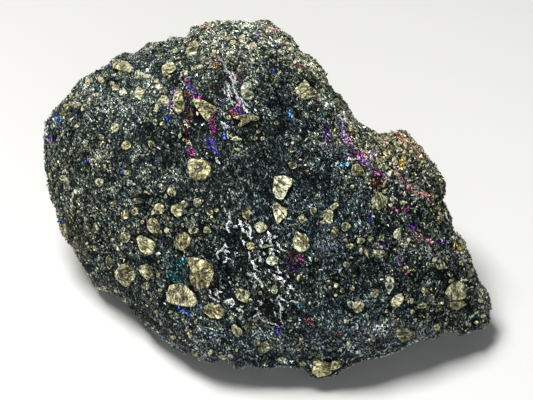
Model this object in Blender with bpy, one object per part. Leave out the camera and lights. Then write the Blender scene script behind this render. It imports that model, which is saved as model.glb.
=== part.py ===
"""A hand-sized lump of copper ore: dark fine-grained host rock, broken on all sides, sown with brassy
chalcopyrite grains. It is one stone, so it is one solid. Metres, +Z up.

The stone is laid out in a leaning frame. U runs to the right, V runs up its show face, and W points straight
out of the show face, which leans back by LEAN from the vertical. The broken rim that bounds the show face is a
closed line of stations. The front and the back are each a dome over that rim, cut down by flat break facets.
The underside is cut off flat where the stone stands.
"""

import math

import bmesh
import bpy
import numpy as np
from mathutils import Vector, noise

# ---- driving dimensions -------------------------------------------------------------------------------------
UNIT = 0.00026                  # one square of the rim's layout grid
REACH = 0.52                    # the grid is laid on the rim from this far in front of its middle
RIM_CENTRE = (266.0, 200.0)     # the grid point over the stone's middle; grid x runs right, grid y runs down
LEAN = math.radians(35.0)       # how far the show face leans back from the vertical
CENTRE_HEIGHT = 0.0400          # the middle of the rim above the ground
FRONT_DEPTH, BACK_DEPTH = 0.021, 0.052    # the domes in front of the rim's surface and behind it
FRONT_DOME, BACK_DOME = (3.0, 2.2), (2.3, 1.9)  # each dome's power and root
LEAST_FRONT, LEAST_BACK = 0.30, 0.40    # how much of each dome the break facets always leave standing
RIM_FADE = 12                   # how fast the rim's small notches fade away from the edge
BASE_TRIM = 0.0                 # the height at which the underside is cut flat
EDGE_ROUND = 0.0014             # how softly two break facets meet
LUMP_SIZE, LUMP_HEIGHT = 0.019, 0.0013
CHIP_SIZE, CHIP_TILT, CHIP_BLEND = 0.0125, 0.13, 0.35
BACK_ROUGHER = 0.9              # how much more the back is broken up than the show face
SPHERE_LEVEL = 5                # the starting sphere has 20 * 4 ** (level - 1) faces

# The rim, clockwise from its leftmost point, on the layout grid.
RIM = [
    (43.8, 134), (44.6, 123.7), (52.4, 111.6), (66.2, 99.5), (76.5, 84), (86.8, 75.4), (102.3, 69.4),
    (107.5, 65.1), (116.1, 57.4), (124.7, 53.4), (133.3, 55.1), (140.2, 50.5), (147.1, 44.4), (155.7, 41.9),
    (166, 42.7), (174.7, 39.3), (186.7, 38.4), (190.2, 31.5), (191, 26.4), (200.5, 27.2), (209.1, 22.9),
    (217.7, 20.7), (228, 21.2), (238.4, 22.1), (247, 24.2), (255.6, 23), (267, 24.3), (279, 29.2),
    (289.3, 36.1), (294.8, 43.8), (300.6, 54.4), (309.2, 57), (317.8, 64.8), (324.7, 73.4), (326.4, 83.7),
    (333.3, 94), (345.4, 104.4), (350.5, 114.7), (357.4, 123.3), (366, 128.5), (376.4, 134.5), (385, 134.5),
    (393.6, 132.3), (402.2, 131.9), (410.8, 137.1), (417.7, 145.7), (424.6, 156), (433.2, 164.7),
    (440.1, 175), (445.3, 183.6), (443.5, 193.9), (440.5, 199.1), (445.3, 208), (449.5, 217), (451.4, 231.4),
    (457.2, 237.2), (467.2, 249.7), (468.9, 257.9), (473.8, 269.6), (477.1, 282.8), (485.4, 289.5),
    (488.8, 299.4), (487.9, 312.7), (488.8, 322.6), (482.1, 329.3), (470.5, 330.9), (460.6, 335.1),
    (453.9, 330.6), (442.3, 331.4), (432.4, 338.4), (420.8, 339.2), (407.5, 344.2), (395.9, 350.8),
    (382.6, 355), (366, 359.1), (356.1, 361.8), (339.5, 369.1), (326.2, 377.3), (316.3, 378.2),
    (309.7, 374), (304.7, 368.2), (293.1, 367.4), (281.5, 363.3), (271.5, 367.6), (259.9, 367.4),
    (247, 362.8), (237.3, 367.4), (229.1, 360.8), (220.8, 358.3), (209.2, 361.6), (199.2, 359.9),
    (189.3, 354.1), (179.3, 349.2), (169.4, 343.3), (156.1, 333.4), (146.1, 327.6), (136.2, 314.3),
    (126.2, 301.1), (113, 292.8), (104.7, 288.4), (96.4, 287), (91.6, 279.5), (84.3, 266.2), (77.3, 256.3),
    (72.2, 244.7), (61.6, 231.4), (58.6, 221.5), (55.9, 209.9), (49.6, 193.3), (47, 178), (45.8, 158.1),
]
# How far the rim stands in front of (+) or behind (-) the leaning plane through its middle, in millimetres,
# by the direction from the middle in degrees anticlockwise from U.
RIM_BEND = [
    (-180, -33), (-166, -33), (-153, -30), (-138, -19), (-122, -8), (-105, 1), (-90, 4), (-74, 4.5), (-60, 0),
    (-45, -5), (-30, -13), (-12, -16), (5, -16), (30, -14), (55, -14), (80, -17), (100, -20), (125, -25),
    (150, -31),
]
# Break facets: the direction that each faces round W (degrees anticlockwise from U), its tilt away from W in
# degrees, and its distance from the middle in millimetres.
FRONT_FACETS = [
    (70, 4, 19.2), (-92, 36, 30.5), (-52, 37, 36.5), (-140, 42, 36.0), (186, 50, 41.5), (146, 27, 27.0),
    (98, 43, 33.5), (62, 35, 32.5), (38, 38, 28.5), (-8, 40, 42.5), (-168, 20, 24.8),
]
BACK_FACETS = [
    (88, 14, 42.5), (128, 38, 59.5), (62, 40, 47.0), (15, 42, 50.5), (170, 36, 63.5), (-150, 34, 57.5),
    (-35, 36, 52.5), (-92, 22, 43.5),
]

U = np.array([1.0, 0.0, 0.0])
V = np.array([0.0, math.sin(LEAN), math.cos(LEAN)])
W = np.array([0.0, -math.cos(LEAN), math.sin(LEAN)])
CENTRE = np.array([0.0, 0.0, CENTRE_HEIGHT])


def periodic(angle, at, values):
    """Values given at some angles, read at any angle on straight lines between them."""
    angle = (angle + math.pi) % (2 * math.pi) - math.pi
    order = np.argsort(at)
    at, values = np.asarray(at, float)[order], np.asarray(values, float)[order]
    at = np.concatenate([[at[-1] - 2 * math.pi], at, [at[0] + 2 * math.pi]])
    values = np.concatenate([[values[-1]], values, [values[0]]])
    return np.interp(angle, at, values)


def eased(angle, at, values):
    """As periodic, with the corners rounded off."""
    total = np.zeros_like(angle)
    for step in (-0.16, -0.08, 0.0, 0.08, 0.16):
        total += periodic(angle + step, at, values)
    return total / 5


def rim_radius(angle):
    across = (np.array([p[0] for p in RIM]) - RIM_CENTRE[0]) * UNIT
    up = (RIM_CENTRE[1] - np.array([p[1] for p in RIM])) * UNIT
    return periodic(angle, np.arctan2(up, across), np.hypot(across, up))


def rim_trend(angle):
    """The rim without its small notches."""
    return sum(rim_radius(angle + math.radians(step)) for step in range(-14, 15, 2)) / 15


def rim_bend(angle):
    return eased(angle, np.radians([a for a, _ in RIM_BEND]), [b * 0.001 for _, b in RIM_BEND])


def soft_min(a, b, width):
    """The lower of two heights, with the crease rounded over the given width."""
    h = np.clip(0.5 + 0.5 * (b - a) / width, 0, 1)
    return b * (1 - h) + a * h - width * h * (1 - h)


def facet_height(facet, u, v):
    """The height along W of a facet's plane over the point u, v."""
    faces, tilt, away = math.radians(facet[0]), math.radians(facet[1]), facet[2] * 0.001
    run = math.sin(tilt) * (math.cos(faces) * u + math.sin(faces) * v)
    return (away - run) / math.cos(tilt)


def stone(points):
    """Points of a unit sphere, taken to the stone's broken faces, before the underside is cut."""
    x, y, z = points.T
    angle = np.arctan2(y, x)
    out = np.clip(np.hypot(x, y), 0, 1)
    radius = rim_trend(angle) + (rim_radius(angle) - rim_trend(angle)) * out**RIM_FADE
    radius *= 1 - rim_bend(angle) / REACH
    u, v = out * radius * np.cos(angle), out * radius * np.sin(angle)
    middle = rim_bend(angle) * out**2
    rise, drop = (np.power(np.clip(1 - out**power, 0, 1), 1 / root) for power, root in (FRONT_DOME, BACK_DOME))
    front, back = middle + FRONT_DEPTH * rise, middle - BACK_DEPTH * drop
    for facet in FRONT_FACETS:
        front = soft_min(front, facet_height(facet, u, v), EDGE_ROUND)
    for facet in BACK_FACETS:
        back = -soft_min(-back, facet_height(facet, u, v), EDGE_ROUND)
    front = -soft_min(-front, -(middle + LEAST_FRONT * FRONT_DEPTH * rise), EDGE_ROUND * rise + 1e-9)
    back = soft_min(back, middle - LEAST_BACK * BACK_DEPTH * drop, EDGE_ROUND * drop + 1e-9)
    w = np.where(z >= 0, front, back)
    return CENTRE + np.outer(u, U) + np.outer(v, V) + np.outer(w, W), out


def relief(p):
    """How far the broken surface stands proud at a point: broad lumps, and chips that each lie at a tilt."""
    q = Vector(p) / LUMP_SIZE
    height = LUMP_HEIGHT * noise.fractal(q, 1.0, 2.0, 2)
    q = Vector(p) / CHIP_SIZE
    away, near = noise.voronoi(q)
    lie = noise.cell_vector(near[0] * 7.13) * 2 - Vector((1, 1, 1))
    inside = min(1.0, (away[1] - away[0]) / CHIP_BLEND)
    return height + CHIP_TILT * CHIP_SIZE * inside * (q - near[0]).dot(lie)


def clear_scene():
    for obj in list(bpy.data.objects):
        bpy.data.objects.remove(obj, do_unlink=True)


def rock_material():
    material = bpy.data.materials.new("ore_rock")
    material.use_nodes = True
    shader = material.node_tree.nodes["Principled BSDF"]
    shader.inputs["Base Color"].default_value = (0.075, 0.085, 0.075, 1)
    shader.inputs["Roughness"].default_value = 0.45
    shader.inputs["Metallic"].default_value = 0.2
    return material


def build():
    clear_scene()
    group = bpy.data.collections.new("chalcopyrite_specimen")
    bpy.context.scene.collection.children.link(group)

    bm = bmesh.new()
    bmesh.ops.create_icosphere(bm, subdivisions=SPHERE_LEVEL, radius=1.0)
    bm.verts.ensure_lookup_table()
    sphere = np.array([v.co for v in bm.verts])
    places, out = stone(sphere)
    for vert, place in zip(bm.verts, places, strict=True):
        vert.co = place
    bmesh.ops.smooth_vert(bm, verts=bm.verts[:], factor=0.4, use_axis_x=True, use_axis_y=True, use_axis_z=True)
    bm.normal_update()
    share = (1 - out**10) * (1 + BACK_ROUGHER * np.clip(-sphere[:, 2] * 2, 0, 1))
    moves = [v.normal * relief(v.co) * part for v, part in zip(bm.verts, share, strict=True)]
    for vert, move in zip(bm.verts, moves, strict=True):
        vert.co += move

    # The underside: cut off level, and closed with one flat face.
    cut = bmesh.ops.bisect_plane(
        bm, geom=bm.verts[:] + bm.edges[:] + bm.faces[:], dist=0.0000005,
        plane_co=(0, 0, BASE_TRIM), plane_no=(0, 0, -1), clear_outer=True,
    )
    edges = [e for e in cut["geom_cut"] if isinstance(e, bmesh.types.BMEdge)]
    bmesh.ops.holes_fill(bm, edges=edges, sides=0)
    bmesh.ops.recalc_face_normals(bm, faces=bm.faces[:])

    # The origin is on the ground, under the middle of the stone.
    low = np.min([v.co for v in bm.verts], axis=0)
    high = np.max([v.co for v in bm.verts], axis=0)
    shift = Vector((-(low[0] + high[0]) / 2, -(low[1] + high[1]) / 2, -BASE_TRIM))
    bmesh.ops.translate(bm, vec=shift, verts=bm.verts[:])

    mesh = bpy.data.meshes.new("ore_stone")
    bm.to_mesh(mesh)
    bm.free()
    mesh.materials.append(rock_material())
    mesh.shade_smooth()
    mesh.set_sharp_from_angle(angle=math.radians(40))
    obj = bpy.data.objects.new("ore_stone", mesh)
    group.objects.link(obj)
    print("shift to the origin", [round(c, 7) for c in shift], "size", [round(float(s), 5) for s in high - low])
    return obj


build()
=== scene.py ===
"""A lump of dark copper ore sown with brassy chalcopyrite grains: the fine surface of the stone.

The stone's broken faces follow the same rule as the solid, at a much finer pitch. On them lie a crust of small
dark crystals, with silvery and tarnished ones in places, the chalcopyrite grains, and fine brassy flecks.
All places on the show face are given on a layout grid: one square is UNIT, x runs right and y runs down, as the
stone is seen from REACH in front of the middle of its rim.
"""

import math

import bpy  # noqa: E402
import numpy as np  # noqa: E402
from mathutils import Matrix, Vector, noise  # noqa: E402
from mathutils.bvhtree import BVHTree  # noqa: E402
from mathutils.kdtree import KDTree  # noqa: E402


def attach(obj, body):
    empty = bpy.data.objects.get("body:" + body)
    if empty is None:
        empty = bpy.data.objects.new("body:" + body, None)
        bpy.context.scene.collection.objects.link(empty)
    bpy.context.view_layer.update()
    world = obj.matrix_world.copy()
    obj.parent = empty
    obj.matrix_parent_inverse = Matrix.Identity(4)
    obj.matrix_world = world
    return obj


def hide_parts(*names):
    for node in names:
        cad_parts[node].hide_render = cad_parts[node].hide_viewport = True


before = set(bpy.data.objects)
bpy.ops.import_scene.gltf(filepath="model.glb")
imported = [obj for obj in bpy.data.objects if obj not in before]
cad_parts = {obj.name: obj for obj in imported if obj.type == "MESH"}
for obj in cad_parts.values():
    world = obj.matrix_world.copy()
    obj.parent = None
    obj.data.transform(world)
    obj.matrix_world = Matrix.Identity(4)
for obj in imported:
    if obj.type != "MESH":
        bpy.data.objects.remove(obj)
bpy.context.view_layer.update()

# ---- the stone's rule, as the solid has it -------------------------------------------------------------------
UNIT = 0.00026
REACH = 0.52
RIM_CENTRE = (266.0, 200.0)
LEAN = math.radians(35.0)
CENTRE_HEIGHT = 0.0400
FRONT_DEPTH, BACK_DEPTH = 0.021, 0.052
FRONT_DOME, BACK_DOME = (3.0, 2.2), (2.3, 1.9)
LEAST_FRONT, LEAST_BACK = 0.30, 0.40
RIM_FADE = 12
EDGE_ROUND = 0.0014
LUMP_SIZE, LUMP_HEIGHT = 0.019, 0.0013
CHIP_SIZE, CHIP_TILT, CHIP_BLEND = 0.0125, 0.13, 0.35
BACK_ROUGHER = 0.9
SHIFT = np.array([0.0010837, -0.0109493, 0.0])

RIM = [
    (43.8, 134), (44.6, 123.7), (52.4, 111.6), (66.2, 99.5), (76.5, 84), (86.8, 75.4), (102.3, 69.4),
    (107.5, 65.1), (116.1, 57.4), (124.7, 53.4), (133.3, 55.1), (140.2, 50.5), (147.1, 44.4), (155.7, 41.9),
    (166, 42.7), (174.7, 39.3), (186.7, 38.4), (190.2, 31.5), (191, 26.4), (200.5, 27.2), (209.1, 22.9),
    (217.7, 20.7), (228, 21.2), (238.4, 22.1), (247, 24.2), (255.6, 23), (267, 24.3), (279, 29.2),
    (289.3, 36.1), (294.8, 43.8), (300.6, 54.4), (309.2, 57), (317.8, 64.8), (324.7, 73.4), (326.4, 83.7),
    (333.3, 94), (345.4, 104.4), (350.5, 114.7), (357.4, 123.3), (366, 128.5), (376.4, 134.5), (385, 134.5),
    (393.6, 132.3), (402.2, 131.9), (410.8, 137.1), (417.7, 145.7), (424.6, 156), (433.2, 164.7),
    (440.1, 175), (445.3, 183.6), (443.5, 193.9), (440.5, 199.1), (445.3, 208), (449.5, 217), (451.4, 231.4),
    (457.2, 237.2), (467.2, 249.7), (468.9, 257.9), (473.8, 269.6), (477.1, 282.8), (485.4, 289.5),
    (488.8, 299.4), (487.9, 312.7), (488.8, 322.6), (482.1, 329.3), (470.5, 330.9), (460.6, 335.1),
    (453.9, 330.6), (442.3, 331.4), (432.4, 338.4), (420.8, 339.2), (407.5, 344.2), (395.9, 350.8),
    (382.6, 355), (366, 359.1), (356.1, 361.8), (339.5, 369.1), (326.2, 377.3), (316.3, 378.2),
    (309.7, 374), (304.7, 368.2), (293.1, 367.4), (281.5, 363.3), (271.5, 367.6), (259.9, 367.4),
    (247, 362.8), (237.3, 367.4), (229.1, 360.8), (220.8, 358.3), (209.2, 361.6), (199.2, 359.9),
    (189.3, 354.1), (179.3, 349.2), (169.4, 343.3), (156.1, 333.4), (146.1, 327.6), (136.2, 314.3),
    (126.2, 301.1), (113, 292.8), (104.7, 288.4), (96.4, 287), (91.6, 279.5), (84.3, 266.2), (77.3, 256.3),
    (72.2, 244.7), (61.6, 231.4), (58.6, 221.5), (55.9, 209.9), (49.6, 193.3), (47, 178), (45.8, 158.1),
]
RIM_BEND = [
    (-180, -33), (-166, -33), (-153, -30), (-138, -19), (-122, -8), (-105, 1), (-90, 4), (-74, 4.5), (-60, 0),
    (-45, -5), (-30, -13), (-12, -16), (5, -16), (30, -14), (55, -14), (80, -17), (100, -20), (125, -25),
    (150, -31),
]
FRONT_FACETS = [
    (70, 4, 19.2), (-92, 36, 30.5), (-52, 37, 36.5), (-140, 42, 36.0), (186, 50, 41.5), (146, 27, 27.0),
    (98, 43, 33.5), (62, 35, 32.5), (38, 38, 28.5), (-8, 40, 42.5), (-168, 20, 24.8),
]
BACK_FACETS = [
    (88, 14, 42.5), (128, 38, 59.5), (62, 40, 47.0), (15, 42, 50.5), (170, 36, 63.5), (-150, 34, 57.5),
    (-35, 36, 52.5), (-92, 22, 43.5),
]

U = np.array([1.0, 0.0, 0.0])
V = np.array([0.0, math.sin(LEAN), math.cos(LEAN)])
W = np.array([0.0, -math.cos(LEAN), math.sin(LEAN)])
CENTRE = np.array([0.0, 0.0, CENTRE_HEIGHT])
EYE = CENTRE + SHIFT + W * REACH


def periodic(angle, at, values):
    angle = (angle + math.pi) % (2 * math.pi) - math.pi
    order = np.argsort(at)
    at, values = np.asarray(at, float)[order], np.asarray(values, float)[order]
    at = np.concatenate([[at[-1] - 2 * math.pi], at, [at[0] + 2 * math.pi]])
    values = np.concatenate([[values[-1]], values, [values[0]]])
    return np.interp(angle, at, values)


def eased(angle, at, values):
    return sum(periodic(angle + step, at, values) for step in (-0.16, -0.08, 0.0, 0.08, 0.16)) / 5


def rim_radius(angle):
    across = (np.array([p[0] for p in RIM]) - RIM_CENTRE[0]) * UNIT
    up = (RIM_CENTRE[1] - np.array([p[1] for p in RIM])) * UNIT
    return periodic(angle, np.arctan2(up, across), np.hypot(across, up))


def rim_trend(angle):
    return sum(rim_radius(angle + math.radians(step)) for step in range(-14, 15, 2)) / 15


def rim_bend(angle):
    return eased(angle, np.radians([a for a, _ in RIM_BEND]), [b * 0.001 for _, b in RIM_BEND])


def soft_min(a, b, width):
    h = np.clip(0.5 + 0.5 * (b - a) / width, 0, 1)
    return b * (1 - h) + a * h - width * h * (1 - h)


def facet_height(facet, u, v):
    faces, tilt, away = math.radians(facet[0]), math.radians(facet[1]), facet[2] * 0.001
    run = math.sin(tilt) * (math.cos(faces) * u + math.sin(faces) * v)
    return (away - run) / math.cos(tilt)


def stone(points):
    """Points of a unit sphere, taken to the stone's broken faces, and how far each is towards the rim."""
    x, y, z = points.T
    angle = np.arctan2(y, x)
    out = np.clip(np.hypot(x, y), 0, 1)
    radius = rim_trend(angle) + (rim_radius(angle) - rim_trend(angle)) * out**RIM_FADE
    radius *= 1 - rim_bend(angle) / REACH
    u, v = out * radius * np.cos(angle), out * radius * np.sin(angle)
    middle = rim_bend(angle) * out**2
    rise, drop = (np.power(np.clip(1 - out**power, 0, 1), 1 / root) for power, root in (FRONT_DOME, BACK_DOME))
    front, back = middle + FRONT_DEPTH * rise, middle - BACK_DEPTH * drop
    for facet in FRONT_FACETS:
        front = soft_min(front, facet_height(facet, u, v), EDGE_ROUND)
    for facet in BACK_FACETS:
        back = -soft_min(-back, facet_height(facet, u, v), EDGE_ROUND)
    front = -soft_min(-front, -(middle + LEAST_FRONT * FRONT_DEPTH * rise), EDGE_ROUND * rise + 1e-9)
    back = soft_min(back, middle - LEAST_BACK * BACK_DEPTH * drop, EDGE_ROUND * drop + 1e-9)
    w = np.where(z >= 0, front, back)
    return CENTRE + np.outer(u, U) + np.outer(v, V) + np.outer(w, W), out


def relief(p):
    q = Vector(p) / LUMP_SIZE
    height = LUMP_HEIGHT * noise.fractal(q, 1.0, 2.0, 2)
    q = Vector(p) / CHIP_SIZE
    away, near = noise.voronoi(q)
    lie = noise.cell_vector(near[0] * 7.13) * 2 - Vector((1, 1, 1))
    inside = min(1.0, (away[1] - away[0]) / CHIP_BLEND)
    return height + CHIP_TILT * CHIP_SIZE * inside * (q - near[0]).dot(lie)


# ---- mesh helpers --------------------------------------------------------------------------------------------
def unit(v):
    return v / np.maximum(np.linalg.norm(v, axis=-1, keepdims=True), 1e-12)


def read_noise(points, size, seed=0.0):
    """Smooth noise, about -1 to 1, at each point, with features of the given size."""
    moved = points / size + seed * 17.31
    return np.fromiter((noise.noise(p) for p in moved.tolist()), float, len(moved))


def cube_sphere(n):
    """A unit sphere of six n by n faces: its points, its quads, and each quad's corners on a 3 by 2 sheet."""
    t = np.tan(np.linspace(-math.pi / 4, math.pi / 4, n + 1))
    a, b = np.meshgrid(t, t, indexing="ij")
    one = np.ones_like(a)
    sides = [(one, a, b), (-one, b, a), (b, one, a), (a, -one, b), (a, b, one), (b, a, -one)]
    places = np.concatenate([unit(np.stack(s, -1).reshape(-1, 3)) for s in sides])
    i, j = np.meshgrid(np.arange(n), np.arange(n), indexing="ij")
    first = (i * (n + 1) + j).ravel()
    quad = np.stack([first, first + n + 1, first + n + 2, first + 1], -1)
    quads = np.concatenate([quad + k * (n + 1) ** 2 for k in range(6)])
    margin = 0.012
    g = np.linspace(margin, 1 - margin, n + 1)
    gu, gv = np.meshgrid(g, g, indexing="ij")
    sheet = np.concatenate(
        [np.stack([(gu.ravel() + k % 3) / 3, (gv.ravel() + k // 3) / 2], -1) for k in range(6)]
    )
    _, keep, index = np.unique(np.round(places, 7), axis=0, return_index=True, return_inverse=True)
    return places[keep], index.reshape(-1)[quads], sheet[quads]


def normals_of(verts, faces):
    """Each vertex's outward direction."""
    corner = verts[faces]
    if faces.shape[1] == 4:
        way = np.cross(corner[:, 2] - corner[:, 0], corner[:, 3] - corner[:, 1])
    else:
        way = np.cross(corner[:, 1] - corner[:, 0], corner[:, 2] - corner[:, 0])
    total = np.zeros_like(verts)
    for k in range(faces.shape[1]):
        for axis in range(3):
            total[:, axis] += np.bincount(faces[:, k], weights=way[:, axis], minlength=len(verts))
    return unit(total)


def make_mesh(name, verts, faces, uv=None, tint=None, smooth=True):
    """A mesh object from arrays. uv is per corner of each face and tint is a colour per vertex."""
    mesh = bpy.data.meshes.new(name)
    count, sides = faces.shape
    mesh.vertices.add(len(verts))
    mesh.vertices.foreach_set("co", np.ascontiguousarray(verts, np.float32).ravel())
    mesh.loops.add(count * sides)
    mesh.loops.foreach_set("vertex_index", np.ascontiguousarray(faces, np.int32).ravel())
    mesh.polygons.add(count)
    mesh.polygons.foreach_set("loop_start", np.arange(count, dtype=np.int32) * sides)
    mesh.polygons.foreach_set("use_smooth", np.full(count, smooth))
    mesh.update(calc_edges=True)
    if uv is not None:
        layer = mesh.uv_layers.new(name="OFBake", do_init=False)
        layer.uv.foreach_set("vector", np.ascontiguousarray(uv, np.float32).ravel())
    if tint is not None:
        layer = mesh.color_attributes.new(name="Tint", type="FLOAT_COLOR", domain="POINT")
        layer.data.foreach_set("color", np.ascontiguousarray(tint, np.float32).ravel())
    mesh.validate()
    obj = bpy.data.objects.new(name, mesh)
    bpy.context.scene.collection.objects.link(obj)
    return obj


# ---- the rock --------------------------------------------------------------------------------------------------
rng = np.random.default_rng(20240611)
ROCK_PITCH = 100                # quads along each side of the six-faced sphere
ball, rock_faces, rock_sheet = cube_sphere(ROCK_PITCH)
rock, toward_rim = stone(ball)
rock_normals = normals_of(rock, rock_faces)
if np.mean(np.sum(rock_normals * (rock - CENTRE), axis=1)) < 0:
    rock_faces, rock_sheet = rock_faces[:, ::-1], rock_sheet[:, ::-1]
    rock_normals = -rock_normals
share = (1 - toward_rim**10) * (1 + BACK_ROUGHER * np.clip(-ball[:, 2] * 2, 0, 1))
lift = np.fromiter((relief(p) for p in rock.tolist()), float, len(rock)) * share
rock = rock + rock_normals * lift[:, None]
rock_normals = normals_of(rock, rock_faces)

# Small broken steps and bumps that the solid leaves out.
STEP_SIZE, STEP_TILT = 0.0042, 0.24
BUMP_SIZE, BUMP_HEIGHT = 0.0017, 0.00022
CRUST_DEPTH = 0.00022           # how deep the rock lies under the tips of its crystals


def steps(p):
    away, near = noise.voronoi(Vector(p) / STEP_SIZE)
    lie = noise.cell_vector(near[0] * 5.71) * 2 - Vector((1, 1, 1))
    inside = min(1.0, (away[1] - away[0]) / 0.3)
    return STEP_TILT * STEP_SIZE * inside * (Vector(p) / STEP_SIZE - near[0]).dot(lie)


fine = np.fromiter((steps(p) for p in rock.tolist()), float, len(rock))
fine += BUMP_HEIGHT * read_noise(rock, BUMP_SIZE)
fine += 1.6 * BUMP_HEIGHT * read_noise(rock, BUMP_SIZE * 2.3, 3)
rock = rock + rock_normals * (fine[:, None] - CRUST_DEPTH) + SHIFT
rock[:, 2] = np.maximum(rock[:, 2], 0.0)
rock_normals = normals_of(rock, rock_faces)
rock_tree = BVHTree.FromPolygons(rock.tolist(), rock_faces.tolist())


def seen_at(x, y):
    """The place on the show face under a point of the layout grid, and which way the surface faces there."""
    ray = unit(U * (x - RIM_CENTRE[0]) * UNIT + V * (RIM_CENTRE[1] - y) * UNIT - W * REACH)
    place, normal, _, _ = rock_tree.ray_cast(Vector(EYE), Vector(ray))
    if place is None:
        return None
    return np.array(place), np.array(normal)


def grid_of(points):
    """The layout grid's x and y of points, and whether they face the eye is not looked at."""
    d = points - EYE
    away = -(d @ W)
    return RIM_CENTRE[0] + (d @ U) / away * REACH / UNIT, RIM_CENTRE[1] - (d @ V) / away * REACH / UNIT


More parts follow.
